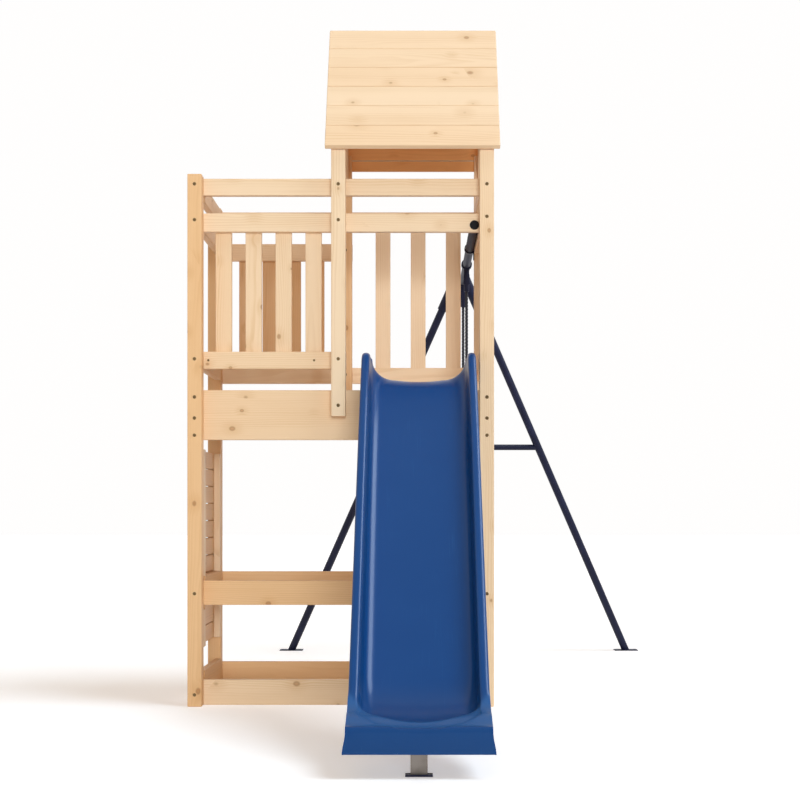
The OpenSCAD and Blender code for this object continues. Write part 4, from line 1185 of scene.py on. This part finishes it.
# %% Cast holds
HOLD_SIDES, HOLD_SHRINK, HOLD_LEAN, RECESS = 48, 0.14, 0.22, 0.4
POLE = 1e-5
HOLD_PROFILE = [(1.0, 0.0)]
for quarter in np.linspace(0, 1, 15) * math.pi / 2:
    HOLD_PROFILE.append((0.36 + 0.64 * math.cos(quarter) ** 0.8,
                         0.12 + 0.88 * math.sin(quarter) ** 0.9))
HOLD_PROFILE += [(0.30, 0.97), (0.24, 0.86), (0.17, 0.62), (0.15, 0.6), (0.0, 0.6)]


def hold_mesh(place, radius, height, seed):
    """One hold, standing out to the left of its place."""
    rnd = random.Random(seed)
    waves = [(k, rnd.uniform(0.02, 0.06), rnd.uniform(0, 2 * math.pi)) for k in (2, 3, 5)]
    made = bmesh.new()
    rings = []
    for share, rise in HOLD_PROFILE:
        ring = []
        for i in range(HOLD_SIDES):
            angle = 2 * math.pi * i / HOLD_SIDES
            wave = sum(w * math.cos(k * angle + p) for k, w, p in waves) * (share > RECESS)
            lean = 1 - HOLD_LEAN * (1 - math.cos(angle - waves[0][2])) / 2
            r = radius * share * (1 - HOLD_SHRINK + wave)
            spot = Vector((-height * rise * lean, r * math.cos(angle), r * math.sin(angle)))
            ring.append(made.verts.new(place + spot))
        rings.append(ring)
    for a, b in zip(rings, rings[1:]):
        bridge(made, a, b)
    made.faces.new(rings[0][::-1])
    bmesh.ops.remove_doubles(made, verts=made.verts, dist=POLE)
    bmesh.ops.recalc_face_normals(made, faces=made.faces)
    return into_mesh("hold", made)


def holds_mesh():
    joined = bmesh.new()
    for seed, (low, high) in enumerate(boxes("climbing_holds")):
        place = Vector((high[0], (low[1] + high[1]) / 2, (low[2] + high[2]) / 2))
        joined.from_mesh(hold_mesh(place, (high[1] - low[1]) / 2, high[0] - low[0], seed))
    return into_mesh("climbing_holds", joined)


def resin_finish():
    s = Shader("cast_resin")
    grit = s.noise(s.place(), 1400.0)
    chalk = s.noise(s.place(), 70.0, detail=4.0)
    s.relief(grit, strength=0.5, distance=0.0007)
    colour = s.mix(s.step(chalk, 0.5, 0.8) * 0.5, (0.02, 0.085, 0.29), (0.16, 0.24, 0.42))
    return s.finish(Base_Color=colour, Roughness=0.62 + grit * 0.2)


grips = smooth(holds_mesh(), degrees=60)
settle(link("cast_holds", grips), resin_finish(), "hold_blue", "frame", "climbing_holds")
print("holds of", len(grips.polygons), "faces")

# %% [markdown]
# ## Floor and light
#
# The photograph was taken on white. A large soft light stands in front, a little to the right,
# and reaches in under the roof to the balusters behind. A second one hangs above and makes the
# shade below the chute, a third only draws the bright lines on its rims, and a fourth behind
# keeps the back from looking dull. A pale floor keeps the shadow. The white behind it is only
# what the camera and reflections see: the light on the object comes from the lamps and from a
# dimmer, warmer sky.

# %% White backdrop and dim sky
SKY_COLOUR, SKY_STRENGTH = (1, 0.75, 0.5), 0.3
BACKDROP = (1, 0.992, 0.986)


def seen_rays(s):
    """1 for rays from the camera and for reflected and refracted ones."""
    straight_on, glossy, through = s.wires("ShaderNodeLightPath", {}, "Is Camera Ray",
                                           "Is Glossy Ray", "Is Transmission Ray")
    return s.calc("MAXIMUM", s.calc("MAXIMUM", straight_on, glossy), through)


studio = Shader("studio", world=True)
studio.feed("Background", "Color", SKY_COLOUR)
studio.feed("Background", "Strength", SKY_STRENGTH)
dim = Wire(studio, studio.tree.nodes["Background"].outputs[0])
white = studio.put("ShaderNodeBackground", {}, {"Color": BACKDROP})
studio.feed("World Output", "Surface", studio.put(
    "ShaderNodeMixShader", {}, {0: seen_rays(studio), 1: dim, 2: white}))
bpy.context.scene.world = studio.owner
print("sky at", SKY_STRENGTH)

# %% Pale floor
FLOOR_SIZE, FLOOR_Z = 60, -0.0005
FLOOR_PALE, FLOOR_PALER = (0.92, 0.92, 0.92), (0.94, 0.94, 0.94)
FLOOR_GLOW = (0.395, 0.372, 0.356)


def floor_finish():
    """Most of the floor's white is lit and keeps the shadow. The rest is only seen, as the
    backdrop is."""
    s = Shader("pale_floor")
    mottle = s.noise(s.place(), 3.0, detail=4.0)
    glow = s.mix(seen_rays(s), (0, 0, 0), FLOOR_GLOW)
    return s.finish(Base_Color=s.mix(mottle, FLOOR_PALE, FLOOR_PALER), Roughness=0.9,
                    Specular_IOR_Level=0.0, Emission_Color=glow, Emission_Strength=1.0)


bpy.ops.mesh.primitive_plane_add(size=FLOOR_SIZE, location=(0, 0, FLOOR_Z))
floor = bpy.context.object
floor.name = "studio_floor"
floor.data.materials.append(floor_finish())
print("floor of", FLOOR_SIZE, "m")

# %% Soft lamps
LAMP_COLOUR = (0.73, 0.865, 1)
LAMPS = (("key_light", 2.33, 20, (-0.12, 0.985, -0.1), "diffuse"),
         ("top_light", 1.78, 28, (-0.52, 0.2, -0.83), "diffuse and glossy"),
         ("gloss_light", 1.24, 24, (-0.5, -0.17, -0.85), "glossy"),
         ("back_light", 1.6, 30, (0.05, -0.99, -0.12), "diffuse"))
for name, energy, spread, towards, lights in LAMPS:
    lamp = bpy.data.lights.new(name, "SUN")
    lamp.energy, lamp.angle, lamp.color = energy, math.radians(spread), LAMP_COLOUR
    placed = bpy.data.objects.new(name, lamp)
    placed.rotation_euler = Vector(towards).to_track_quat("-Z", "Y").to_euler()
    placed.visible_diffuse = "diffuse" in lights
    placed.visible_glossy = "glossy" in lights
    bpy.context.scene.collection.objects.link(placed)
bpy.context.scene.view_settings.view_transform = "Standard"
print("placed", len(LAMPS), "lamps")
